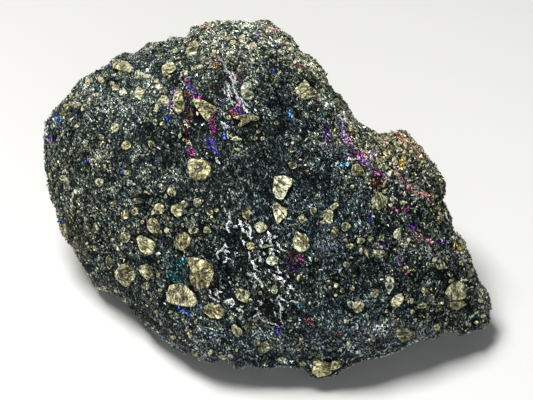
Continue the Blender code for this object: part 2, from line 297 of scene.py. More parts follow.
# ---- the chalcopyrite grains ------------------------------------------------------------------------------------
# On the show face: x, y, width, height on the layout grid, and how pale and bright the grain is.
GRAINS = [
    # lower left
    (65, 230, 8, 16, .35), (95, 228, 7, 12, .5), (125, 237, 11, 11, .6), (124, 215, 8, 10, .6),
    (134.5, 211, 8, 8, .6), (158, 209, 10, 13, .6), (163, 216, 6, 6, .5), (153, 226, 13, 17, .6),
    (176, 210, 13, 14, .6), (184, 204, 8, 9, .5), (197, 202, 9, 9, .5), (191, 211.5, 6, 6, .5),
    (209, 211, 9, 9, .5), (147, 245, 16, 20, .8), (192, 230, 11, 8, .6), (207, 230, 11, 8, .6),
    (183, 240.5, 17, 17, .6), (170, 224, 7, 7, .5), (109, 262, 8, 15, .5), (124.6, 274, 20, 22, .6),
    (146, 272, 13, 17, .55), (145, 286, 8, 9, .5), (199, 274.5, 25, 31, .6), (181, 294.4, 32, 24, .7),
    (214, 310, 20, 14, .6), (260.6, 227, 15, 12, .75), (245.6, 214, 10, 13, .3), (279, 213, 13, 21, .8),
    (282, 188.5, 20, 24, 1), (250, 246, 9, 8, .6), (272, 259.6, 13, 11, .85), (243, 294.4, 14, 14, .65),
    (229, 302, 10, 8, .9), (274, 289.4, 7, 9, .6), (236.5, 330, 11, 12, .5), (264, 347.5, 13, 12, .5),
    (171, 191, 9, 12, .5), (66, 184.5, 6, 16, .45), (99.5, 182, 9, 9, .5), (189, 334, 4, 10, .5),
    (172.7, 337.5, 8, 5, .5),
    # lower right
    (301, 242, 18, 20, .75), (313, 210.7, 7, 8, .6), (302, 219, 8, 10, .55), (328, 215.7, 9, 17, .65),
    (334.5, 205, 6, 6, .7), (345, 227, 10, 10, .55), (334.5, 233, 9, 12, .55), (349.5, 246, 9, 6, .5),
    (360, 240.5, 10, 6, .5), (370, 239, 6, 6, .5), (381, 238, 6, 6, .5), (379, 254, 13, 9, .55),
    (396.7, 234, 9, 12, .55), (378.5, 200.7, 14, 17, .65), (403.4, 244.7, 8, 5, .5), (316, 260, 5, 5, .5),
    (346, 264.6, 7, 7, .5), (388.4, 282.8, 9, 17, .6), (396, 300, 13, 13, .75), (374, 293, 10, 9, .4),
    (357.7, 307, 13, 10, .6), (348, 302, 4, 9, .5), (455.6, 292.8, 21, 17, .45), (457, 304.4, 15, 10, .45),
    (472, 302, 7, 7, .45), (440, 264.6, 10, 12, .4), (408, 288.6, 4, 7, .5), (421, 305, 9, 7, .5),
    (411, 301, 5, 6, .5), (430.7, 297.7, 8, 8, .5), (405, 334, 18, 15, .45), (421, 325, 6, 7, .45),
    (435.7, 326.8, 7, 7, .45), (433, 336, 8, 4, .4), (391.7, 316.8, 6, 7, .5), (381, 318.5, 4, 7, .5),
    (482, 326, 7, 6, .4), (321, 370, 18, 14, .7), (335, 365, 12, 10, .55), (348.6, 346, 5, 11, .5),
    (333, 341, 4, 4, .5), (302, 364, 7, 6, .5), (281.5, 359, 10, 4, .5), (372.7, 339, 5, 6, .45),
    (461, 245, 10, 12, .45), (469, 273, 8, 10, .45), (480.5, 291, 5, 11, .45), (329.6, 287.8, 4, 4, .5),
    (321, 287.8, 5, 5, .5), (298, 278, 4, 8, .55),
    # upper right
    (247, 89, 11, 13, .55), (304, 89, 18, 20, .6), (275.6, 80, 4, 10, .5), (242, 39, 7, 10, .55),
    (252.4, 45, 8, 8, .5), (288.5, 57, 6, 7, .5), (391, 149, 7, 7, .55), (388.4, 139, 8, 8, .55),
    (378, 164.7, 9, 9, .7), (355.7, 170, 10, 8, .55), (342, 171.5, 5, 6, .5), (415, 199, 6, 4, .9),
    (400, 192, 5, 5, .6), (352, 187, 5, 5, .5), (342, 192, 4, 4, .5), (404, 156, 5, 10, .75),
    (324, 80, 5, 7, .5), (333, 102.7, 5, 5, .5), (343, 105.5, 5, 5, .5), (319.5, 119, 5, 5, .5),
    (276, 123, 6, 5, .4), (290, 149.5, 5, 5, .5), (292, 165, 10, 8, .4),
    # upper left and top
    (121, 66, 22, 12, .85), (167.8, 66.8, 14, 12, .8), (179, 63.4, 5, 6, .55), (193.6, 50.5, 10, 20, .75),
    (184, 73, 10, 7, .55), (157.4, 86.6, 7, 6, .55), (136.8, 73.7, 6, 12, .6), (147, 76.3, 10, 5, .6),
    (122, 91.8, 8, 10, .55), (138.5, 92.7, 9, 12, .6), (76.5, 104.7, 8, 6, .55), (88.5, 100.4, 6, 8, .5),
    (71.3, 95.2, 5, 8, .5), (62.7, 113.3, 8, 5, .5), (115, 127, 10, 10, .55), (126.4, 146, 10, 11, .55),
    (100.6, 137.4, 7, 6, .5), (150.5, 144.3, 6, 8, .5), (199.6, 169.3, 22, 20, .6), (126.4, 172, 8, 6, .45),
    (93.7, 160.7, 11, 5, .5), (164.3, 101.3, 11, 10, .55), (178, 104, 9, 25, .5), (155.7, 108, 5, 9, .5),
    (154.8, 122, 6, 7, .5), (161.7, 123.7, 5, 5, .5), (199, 104, 9, 7, .6), (209, 109, 8, 8, .6),
    (203, 115, 9, 6, .6), (241.8, 119.4, 20, 7, .55), (254, 118, 15, 6, .5), (232, 135, 7, 6, .5),
    (236.6, 139, 12, 6, .55), (254, 138, 8, 5, .5), (238.4, 149.5, 10, 4, .5), (228, 38.4, 4, 4, .5),
    (174.7, 49.6, 5, 8, .55), (86.8, 82.3, 7, 8, .55), (140, 201, 6, 5, .5),
]

# Grains whose outlines are given corner by corner: how pale, how golden (0) or grey (1), and the corners.
SHAPED = [
    (.66, .08, [(187, 164), (190, 159), (197, 159.5), (205, 161.5), (210, 168), (209.5, 175), (204, 180), (196, 180.5), (190, 177),
                (187.5, 170)]),
    (.62, .35, [(445, 293), (449, 287), (453, 283), (459, 281), (465, 284), (467, 290), (466, 297), (458, 299.5), (450, 298.5)]),
    (.60, .3, [(448, 304), (455, 301.5), (463, 301), (466, 304.5), (461, 309.5), (453, 309.5)]),
    (.55, .12, [(185.7, 259), (192.4, 258.3), (204.3, 261.4), (210.2, 263.8), (211.9, 273.3), (211, 281.7), (205.5, 288),
                (197, 290), (190, 285.2), (188, 278), (188.8, 268.6)]),
    (.66, .2, [(165.7, 294.8), (168.6, 286.4), (178, 283.6), (185.2, 285.2), (188, 289.5), (193.6, 294.8), (196, 300.7),
               (192.4, 306.2), (182.9, 305.5), (173.3, 304.3), (167.4, 301.9)]),
    (1.0, .5, [(273, 184.3), (274.3, 177), (283.8, 176), (291, 178.3), (291.7, 184.3), (287.4, 189), (285, 195),
               (281.4, 200), (275.5, 197.4), (272.4, 190.2)]),
    (.82, .35, [(272, 204), (277, 202.5), (281, 207), (286, 209), (286, 216), (281, 220), (277, 224.5), (275, 219), (273, 211)]),
    (.78, .3, [(253, 226.5), (257, 223), (261, 221), (265, 225), (268, 227.5), (265, 231), (259, 233.5), (256, 230)]),
    (.75, .25, [(296, 231), (300, 234), (304, 234), (308, 238), (309, 245), (306, 250), (300, 252.5), (294, 248), (293, 238)]),
    (.85, .8, [(266, 259), (268, 256), (273, 255), (278, 258), (277, 263), (271, 266), (266, 263)]),
    (.58, .15, [(204.5, 306), (212, 302.5), (219, 303.5), (224, 309), (224, 315), (219, 318), (211, 317), (204, 312)]),
    (.72, .3, [(235.5, 291), (238, 288), (245, 290), (250, 293), (248, 299), (246, 303), (240, 300), (236, 297)]),
    (.72, .25, [(231, 326), (234, 323.5), (238, 327), (242, 331), (241, 335), (237, 337), (233, 333)]),
    (.60, .2, [(115, 272), (121, 265), (129.3, 263.3), (134, 268.6), (135.2, 276.9), (126.9, 286.4), (123.3, 284), (117.4, 278)]),
    (.62, .15, [(174.5, 240), (179.3, 233.3), (185.2, 232.1), (190.7, 236.4), (190.5, 243.6), (182.9, 249.5), (176.2, 246)]),
    (.82, .2, [(138.3, 236.4), (142.4, 235.2), (151.9, 240), (156, 243.6), (153, 252.4), (148.3, 254.3), (141.2, 249.5), (139.3, 242.4)]),
    (.60, .15, [(146.7, 222.1), (150.7, 218), (156.7, 219.8), (159, 226.9), (156.7, 234), (149.5, 232.9), (146.4, 228)]),
    (.68, .2, [(169.8, 205.5), (175.7, 203.8), (181.7, 206.7), (181.7, 215), (177, 217.4), (171, 211.4)]),
    (.60, .3, [(139.3, 266.2), (146, 263.8), (151.9, 267.4), (151.9, 275.7), (147, 280), (141.2, 273.3)]),
    (.72, .2, [(188.8, 162.9), (192.4, 159.3), (204.3, 160.5), (209.5, 165.2), (210.2, 172.4), (204.3, 178.3), (197, 179), (191.2, 174.8)]),
    (.66, .3, [(295.7, 87.9), (305.2, 78.3), (308.8, 86.7), (314.3, 90.2), (314.8, 97.4), (302.9, 98.6), (298, 96.2)]),
    (.70, .25, [(371, 198), (376, 192), (381, 193), (386, 201), (385, 206), (377, 210), (370, 203)]),
    (.56, .25, [(445.7, 292.4), (452.9, 284), (462.4, 284), (466.7, 290), (465.2, 298.3), (456.4, 300.2), (447, 297)]),
    (.54, .3, [(448, 302), (456.4, 300.9), (465.2, 301.9), (463.6, 307.9), (456.4, 310.2), (450.5, 307.9)]),
    (.50, .3, [(395.7, 329.3), (402.9, 326.4), (414.8, 332.9), (416, 338.8), (402.9, 342.9), (395.7, 335.2)]),
    (.66, .1, [(312, 371), (313.6, 357.9), (322, 361), (331.4, 363.8), (337, 367), (329, 375.2), (318, 376.5)]),
    (.82, .2, [(389.8, 300.7), (395.7, 294.8), (402.9, 293.6), (402.4, 300.7), (396.9, 306.7), (390.5, 305.5)]),
    (.62, .9, [(383.8, 279.3), (387.4, 276.4), (393.3, 278), (393.3, 285.2), (388.6, 294.8), (385, 287.6)]),
    (.66, .25, [(351.7, 303), (357.6, 300.7), (363.6, 303), (362.4, 310.2), (355.2, 312.6), (351.7, 307.9)]),
    (.68, .3, [(322.4, 211.4), (327.9, 209.2), (332.6, 211.6), (331.4, 223.3), (325.5, 223.8), (323, 218)]),
    (.75, .25, [(329, 206.7), (336.2, 201.9), (338, 205.5), (332, 210.5)]),
    (.86, .2, [(111.4, 64), (116.2, 59.3), (125.7, 60.5), (131.7, 67.6), (130.5, 73.6), (121, 71.2), (112.6, 67.6)]),
    (.84, .25, [(161.4, 67.6), (166.2, 62.9), (173.3, 62.9), (176.2, 68.8), (169.8, 73.6), (162.6, 77)]),
    (.78, .3, [(190.2, 46.2), (196, 42.6), (199.3, 46.2), (197, 58), (188.8, 58.5), (187, 53.5)]),
    (.60, .2, [(175, 88), (181, 90), (184, 104), (183, 110), (178, 114), (173, 108), (172, 96)]),
    (.66, .9, [(240.5, 88), (243, 83), (250, 83), (252.5, 92), (252, 98), (246, 99.5), (241, 95)]),
    (.66, .15, [(191, 100), (197, 99), (204, 101), (214, 107), (216, 111), (211, 116), (207, 122), (201, 114), (195, 106)]),
    (.55, .2, [(232, 118), (243, 115), (254, 114), (257, 120), (250, 121), (243, 121), (240, 127), (234, 128)]),
    (.55, .2, [(352, 166), (357, 164), (361, 168), (361, 175), (366, 178), (355, 178), (351, 173)]),
]
taken_spots = [
    (sum(p[0] for p in c) / len(c), sum(p[1] for p in c) / len(c), max(p[0] for p in c) - min(p[0] for p in c))
    for _, _, c in SHAPED
]
GRAINS = [g for g in GRAINS if not any(math.hypot(g[0] - x, g[1] - y) < 0.36 * w + 1.0 for x, y, w in taken_spots)]

# Small bits of the same: x, y and how wide.
CHIPS = [
    (391, 141, 6), (398, 151, 5), (381, 158, 7), (375, 164, 5), (387, 149, 4), (405, 145, 5), (411, 152, 4), (378, 151, 4), (372, 172, 5),
    (359, 166, 6), (353, 161, 4), (386, 166, 5), (419, 160, 4), (433, 176, 4), (441, 188, 4), (394, 159, 4), (366, 158, 4), (351, 127, 5),
    (345, 119, 4), (338, 109, 4), (357, 136, 4), (64, 118, 5), (70, 104, 5), (78, 96, 6), (88, 86, 5), (101, 80, 6), (112, 84, 5), (96, 95, 6),
    (84, 83, 6), (72, 95, 4), (94, 103, 4), (66, 106, 5), (60, 112, 4), (77, 106, 4), (82, 109, 4), (115, 88, 7),
    (126, 90, 8), (137, 80, 6), (146, 71, 7), (140, 87, 6), (153, 89, 5), (156, 81, 5), (160, 92, 3), (150, 115, 4),
    (70, 120, 4), (76, 126, 5), (62, 135, 4), (64, 150, 5), (70, 153, 4), (98, 159, 6), (103, 166, 5), (110, 168, 4),
    (62, 178, 6), (66, 190, 6), (125, 178, 6), (140, 192, 4), (135, 200, 6), (160, 185, 5), (165, 197, 5),
    (196, 191, 4), (148, 165, 3), (168, 36, 5), (172, 40, 4), (150, 46, 6), (156, 44, 5), (146, 52, 4), (185, 42, 6),
    (200, 38, 5), (196, 58, 5), (205, 33, 4), (225, 34, 4), (216, 28, 4), (238, 37, 7), (232, 42, 5), (255, 38, 5),
    (262, 36, 7), (268, 30, 6), (275, 36, 5), (252, 60, 5), (258, 52, 5), (274, 52, 5), (280, 58, 4), (283, 52, 4),
    (247, 78, 4), (276, 85, 4), (240, 62, 4), (226, 62, 4), (178, 56, 5), (170, 60, 4), (164, 56, 4), (200, 66, 4),
    (192, 68, 4), (228, 117, 4), (258, 132, 5), (252, 134, 4), (262, 138, 5), (236, 128, 4), (240, 122, 5),
    (262, 125, 4), (225, 128, 3), (286, 42, 6), (290, 50, 6), (284, 48, 4), (294, 62, 5), (300, 70, 5), (312, 62, 4),
    (320, 68, 4), (316, 76, 5), (279, 72, 4), (330, 92, 4), (338, 100, 6), (348, 112, 4), (352, 122, 4),
    (350, 130, 4), (345, 96, 3), (382, 138, 5), (396, 144, 6), (398, 150, 6), (386, 153, 6), (384, 160, 6),
    (371, 159, 5), (376, 170, 5), (384, 166, 5), (390, 172, 6), (396, 162, 5), (366, 152, 4), (360, 145, 4),
    (372, 146, 5), (368, 138, 4), (392, 134, 4), (410, 152, 4), (408, 161, 4), (412, 166, 4), (418, 160, 3),
    (426, 166, 3), (432, 172, 4), (440, 180, 5), (441, 192, 4), (436, 196, 4), (422, 197, 4), (404, 194, 4),
    (396, 182, 5), (386, 178, 4), (350, 164, 5), (362, 178, 5), (349, 177, 4), (370, 188, 4), (346, 176, 3),
    (384, 192, 4), (392, 199, 6), (402, 203, 5), (428, 205, 5), (436, 208, 4), (444, 212, 5), (438, 218, 5),
    (426, 212, 4), (390, 205, 5), (340, 145, 3), (292, 143, 4), (305, 165, 3), (307, 171, 4), (300, 160, 3),
    (352, 214, 4), (322, 222, 5), (345, 240, 6), (356, 236, 4), (381, 247, 5), (408, 240, 5), (414, 246, 5),
    (404, 250, 3), (421, 240, 5), (452, 238, 5), (457, 252, 6), (462, 262, 6), (474, 262, 5), (466, 280, 5),
    (434, 260, 5), (447, 257, 5), (428, 265, 5), (420, 258, 4), (414, 262, 4), (406, 268, 5), (438, 254, 4),
    (318, 263, 4), (302, 283, 4), (328, 281, 4), (336, 285, 5), (342, 291, 5), (335, 295, 4), (316, 293, 3),
    (352, 288, 5), (424, 290, 6), (436, 300, 5), (426, 300, 4), (442, 303, 4), (412, 312, 5), (420, 315, 4),
    (386, 311, 4), (350, 315, 5), (345, 321, 5), (352, 327, 4), (392, 325, 5), (411, 340, 5), (397, 340, 5),
    (445, 325, 5), (455, 330, 4), (462, 314, 3), (480, 300, 5), (484, 316, 6), (468, 325, 5), (476, 322, 4),
    (343, 338, 5), (330, 350, 5), (300, 340, 4), (312, 348, 4), (290, 330, 3), (272, 345, 5), (266, 354, 5),
    (310, 357, 5), (370, 348, 4), (358, 352, 4), (290, 318, 3), (360, 333, 3), (375, 337, 3), (68, 236, 7),
    (75, 242, 5), (80, 250, 5), (78, 212, 3), (104, 210, 4), (112, 205, 5), (112, 222, 3), (118, 214, 4),
    (98, 290, 6), (104, 287, 6), (112, 293, 6), (120, 298, 5), (116, 287, 4), (88, 247, 3), (96, 270, 3),
    (130, 300, 4), (150, 300, 4), (156, 312, 4), (140, 312, 3), (150, 330, 4), (170, 343, 5), (186, 330, 4),
    (196, 330, 4), (200, 345, 4), (210, 352, 4), (222, 358, 6), (230, 356, 5), (214, 358, 5), (236, 350, 4),
    (245, 352, 4), (257, 343, 6), (268, 352, 5), (247, 328, 7), (254, 327, 5), (240, 318, 4), (262, 318, 4),
    (230, 318, 4), (195, 322, 4), (183, 320, 4), (170, 312, 4), (160, 232, 4), (166, 230, 5), (200, 238, 5),
    (196, 215, 4), (216, 210, 5), (167, 219, 4), (156, 239, 3), (182, 225, 4), (142, 222, 4), (128, 226, 3),
    (138, 232, 4), (122, 248, 5), (112, 240, 4), (100, 240, 3), (158, 254, 4), (158, 262, 4), (158, 275, 5),
    (160, 290, 4), (176, 256, 3), (205, 297, 5), (216, 300, 4), (260, 293, 4), (250, 300, 4), (262, 283, 4),
]
solid_spots = [(g[0], g[1], (g[2] + g[3]) / 2) for g in GRAINS] + taken_spots
CHIPS = [c for c in CHIPS if not any(math.hypot(c[0] - x, c[1] - y) < 0.46 * w + 0.42 * c[2] for x, y, w in solid_spots)]

# ---- tarnish, silvery threads, tone, and painted light and shade on the show face -------------------------------
HUES = {
    "purple": (0.16, 0.04, 0.36), "indigo": (0.10, 0.06, 0.48), "violet": (0.30, 0.16, 0.58),
    "magenta": (0.42, 0.03, 0.25), "pink": (0.66, 0.26, 0.36), "lilac": (0.44, 0.34, 0.58),
    "red": (0.50, 0.06, 0.08), "maroon": (0.12, 0.022, 0.045), "brown": (0.24, 0.08, 0.03),
    "orange": (0.58, 0.25, 0.06), "salmon": (0.66, 0.36, 0.27), "gold": (0.62, 0.42, 0.06),
    "blue": (0.04, 0.10, 0.46), "sky": (0.16, 0.50, 0.80), "cyan": (0.04, 0.34, 0.46), "teal": (0.025, 0.17, 0.19),
}
# Streaks of tarnish on the layout grid: the hue, how thick the film is, the streak's width, and its line.
TARNISH = [
    ("teal", .22, 12, (170, 260), (178, 270)), ("cyan", .10, 10, (172, 256), (182, 276)), ("teal", .20, 9, (160, 252), (166, 262)),
    ("lilac", .35, 9, (341, 118), (346, 140), (354, 154), (368, 166), (386, 178)), ("pink", .35, 6, (352, 158), (368, 168), (382, 180)),
    ("salmon", .40, 8, (386, 137), (398, 135), (408, 146), (420, 157)), ("pink", .50, 5, (401, 180), (411, 190), (430, 197)),
    ("pink", .30, 8, (406, 242), (420, 236), (430, 242)), ("maroon", .45, 6, (399, 258), (404, 272)),
    ("salmon", .35, 6, (384, 146), (392, 158), (400, 172)), ("lilac", .30, 8, (326, 140), (336, 152)),
    ("magenta", .8, 3, (187, 81), (188, 84)), ("indigo", .9, 4, (190, 86), (192, 90)),
    ("purple", .9, 5, (193, 91), (197, 95)), ("maroon", .9, 3, (186, 91), (187, 97)),
    ("magenta", .9, 3.5, (188, 97), (194, 96), (200, 99)), ("violet", .9, 5, (175, 92), (178, 99)),
    ("violet", .9, 4, (170, 101), (169, 108)), ("blue", .9, 4, (166, 116), (168, 121)),
    ("maroon", .8, 3.5, (185, 103), (185, 109), (183, 113)), ("brown", .8, 4, (189, 111), (190, 115)),
    ("red", .7, 2.5, (184, 119), (186, 121)), ("magenta", .8, 3, (217, 111), (213, 118), (211, 122)),
    ("magenta", .9, 4.5, (212, 126), (213, 131)), ("maroon", .7, 3, (212, 133), (208, 138)),
    ("indigo", .95, 6, (208, 140), (213, 143), (210, 147)), ("indigo", .7, 3.5, (214, 149), (217, 155)),
    ("magenta", .9, 4.5, (188, 148), (190, 152), (193, 157)), ("magenta", .9, 2.5, (235, 91), (235, 96)),
    ("magenta", .9, 3, (238, 101), (240, 105)), ("red", .9, 4, (231, 111), (234, 114), (233, 116)),
    ("purple", .9, 4.5, (236, 110), (240, 113), (243, 112)), ("violet", .9, 3, (229, 126), (230, 129)),
    ("blue", .9, 3, (224, 133), (225, 139)), ("maroon", .85, 3.5, (228, 75), (229, 82)),
    ("maroon", .9, 4, (236, 73), (239, 78), (240, 84)), ("maroon", .8, 3, (212, 57), (213, 60)),
    ("orange", .7, 3, (213, 64), (214, 67)), ("brown", .8, 2.5, (217, 59), (218, 70)),
    ("salmon", .6, 2.5, (232, 147), (238, 150), (245, 151)), ("brown", .6, 3, (213, 85), (215, 89)),
    ("purple", .6, 3.5, (219, 99), (223, 106)), ("maroon", .5, 6, (183, 127), (190, 139)),
    ("purple", .8, 5, (325, 124), (326, 130), (325, 136)), ("violet", .8, 2.5, (342, 119), (342, 125)),
    ("purple", .9, 4, (341, 128), (342, 133), (345, 138)), ("magenta", .8, 3, (347, 139), (349, 144), (352, 149)),
    ("magenta", .95, 4, (351, 149), (356, 152), (362, 156)), ("red", .8, 2.5, (357, 152), (361, 154)),
    ("magenta", .9, 3, (362, 156), (366, 160)), ("lilac", .8, 5, (346, 156), (349, 160), (352, 162)),
    ("indigo", .95, 4, (360, 160), (364, 162), (367, 165)), ("lilac", .8, 5, (365, 166), (371, 172)),
    ("violet", .8, 2.5, (366, 157), (373, 160)), ("violet", .8, 2.5, (370, 156), (373, 152)),
    ("magenta", .8, 2.5, (374, 158), (378, 157)), ("magenta", 1.0, 5.5, (375, 172), (379, 175), (382, 178)),
    ("indigo", .9, 3, (383, 173), (386, 178)), ("sky", .95, 3.5, (340, 165), (345, 165)),
    ("pink", .8, 3.5, (382, 138), (386, 140)), ("salmon", .7, 5, (390, 134), (397, 133), (401, 136)),
    ("red", .7, 4, (396, 138), (399, 141)), ("salmon", .9, 3.5, (401, 142), (406, 145), (408, 147)),
    ("gold", .95, 3.5, (404, 149), (405, 154), (402, 160)), ("gold", .7, 3, (399, 162), (401, 170)),
    ("gold", .6, 3, (403, 165), (408, 161)), ("salmon", .8, 3, (409, 149), (414, 152), (420, 152)),
    ("pink", .8, 3.5, (394, 170), (398, 170)), ("brown", .9, 4, (371, 181), (376, 183), (378, 188)),
    ("orange", .8, 2.5, (370, 181), (374, 181)), ("pink", .8, 3, (401, 178), (404, 182), (405, 188)),
    ("pink", .8, 3.5, (405, 188), (411, 191)), ("salmon", .9, 4, (411, 191), (416, 194), (422, 194), (430, 196)),
    ("pink", .8, 3.5, (426, 198), (429, 201)), ("magenta", .9, 4, (394, 208), (399, 213)),
    ("magenta", .8, 3, (402, 211), (407, 208)), ("purple", .9, 3, (369, 214), (370, 217)),
    ("blue", .9, 3, (370, 220), (370, 225)), ("violet", .7, 3, (365, 135), (367, 138)),
    ("red", .8, 3, (350, 131), (352, 134)), ("lilac", .4, 5, (325, 147), (337, 150)),
    ("violet", .8, 2.5, (362.4, 233), (364.8, 237)), ("purple", .9, 3.5, (378, 246), (383, 247)),
    ("pink", .7, 3.5, (412, 234), (421, 238), (415, 241)), ("purple", .8, 4, (408, 226), (415, 229)),
    ("purple", .9, 3.5, (397, 259), (401, 264)), ("magenta", .8, 3, (401, 264), (406, 273)),
    ("violet", .6, 2.5, (435, 244), (445, 241)), ("maroon", .6, 9, (287, 255), (296, 260)),
    ("magenta", .8, 3.5, (299, 256), (301, 260)), ("purple", .55, 5, (286, 265), (291, 269), (298, 271)),
    ("purple", .95, 4, (267, 319), (273, 324), (279, 328)), ("indigo", .9, 4, (276, 327), (279, 334)),
    ("cyan", .9, 2.5, (267, 319), (270, 320)), ("red", .8, 4, (308, 320), (313, 323)), ("red", .7, 2.5, (336, 334), (339, 335)),
    ("gold", .8, 3.5, (437, 302), (441, 307)), ("cyan", .95, 2.5, (296, 303), (299, 304)),
    ("sky", .6, 2.5, (309, 232), (311, 234)), ("cyan", .8, 4, (180, 259), (185, 266)),
    ("teal", .55, 9, (170, 274), (182, 283)), ("blue", .9, 4.5, (178, 307), (190, 313)),
    ("blue", .9, 3, (194, 306), (197, 308)), ("blue", .9, 3.5, (152, 249), (154, 253)),
    ("blue", .7, 3, (60, 219), (65, 222)), ("teal", .6, 4, (219, 316), (226, 322)),
    ("blue", .9, 4, (55, 115), (60, 122)), ("cyan", .8, 2.5, (56, 120), (60, 118)),
    ("purple", .9, 3.5, (47, 137), (52, 140)), ("violet", .7, 2.5, (75, 116), (77, 117)),
    ("violet", .8, 2.5, (107, 65), (109, 66)), ("violet", .8, 2.5, (134, 65), (137, 67)),
    ("blue", .9, 3, (120, 168), (122, 173)), ("blue", .7, 2.5, (85, 160), (89, 161)),
    ("salmon", .8, 3.5, (202, 25), (209, 27)), ("violet", .8, 3, (256, 34), (259, 38)),
    ("pink", .7, 3, (263, 27), (270, 29), (277, 32)), ("violet", .8, 3, (274, 47), (277, 50)),
    ("maroon", .8, 3.5, (281, 41), (286, 44)), ("blue", .8, 2.5, (271, 70), (273, 73)),
    ("sky", .95, 3.5, (288, 112), (291, 117)), ("blue", .9, 3.5, (289, 117), (291, 122)),
    ("red", .7, 3, (295, 62), (299, 66)), ("cyan", .7, 2.5, (319, 115), (322, 118)),
    ("maroon", .5, 5, (310, 92), (316, 99)), ("gold", .6, 4, (455, 244), (462, 253)), ("gold", .5, 3.5, (62, 226), (67, 236)),
]
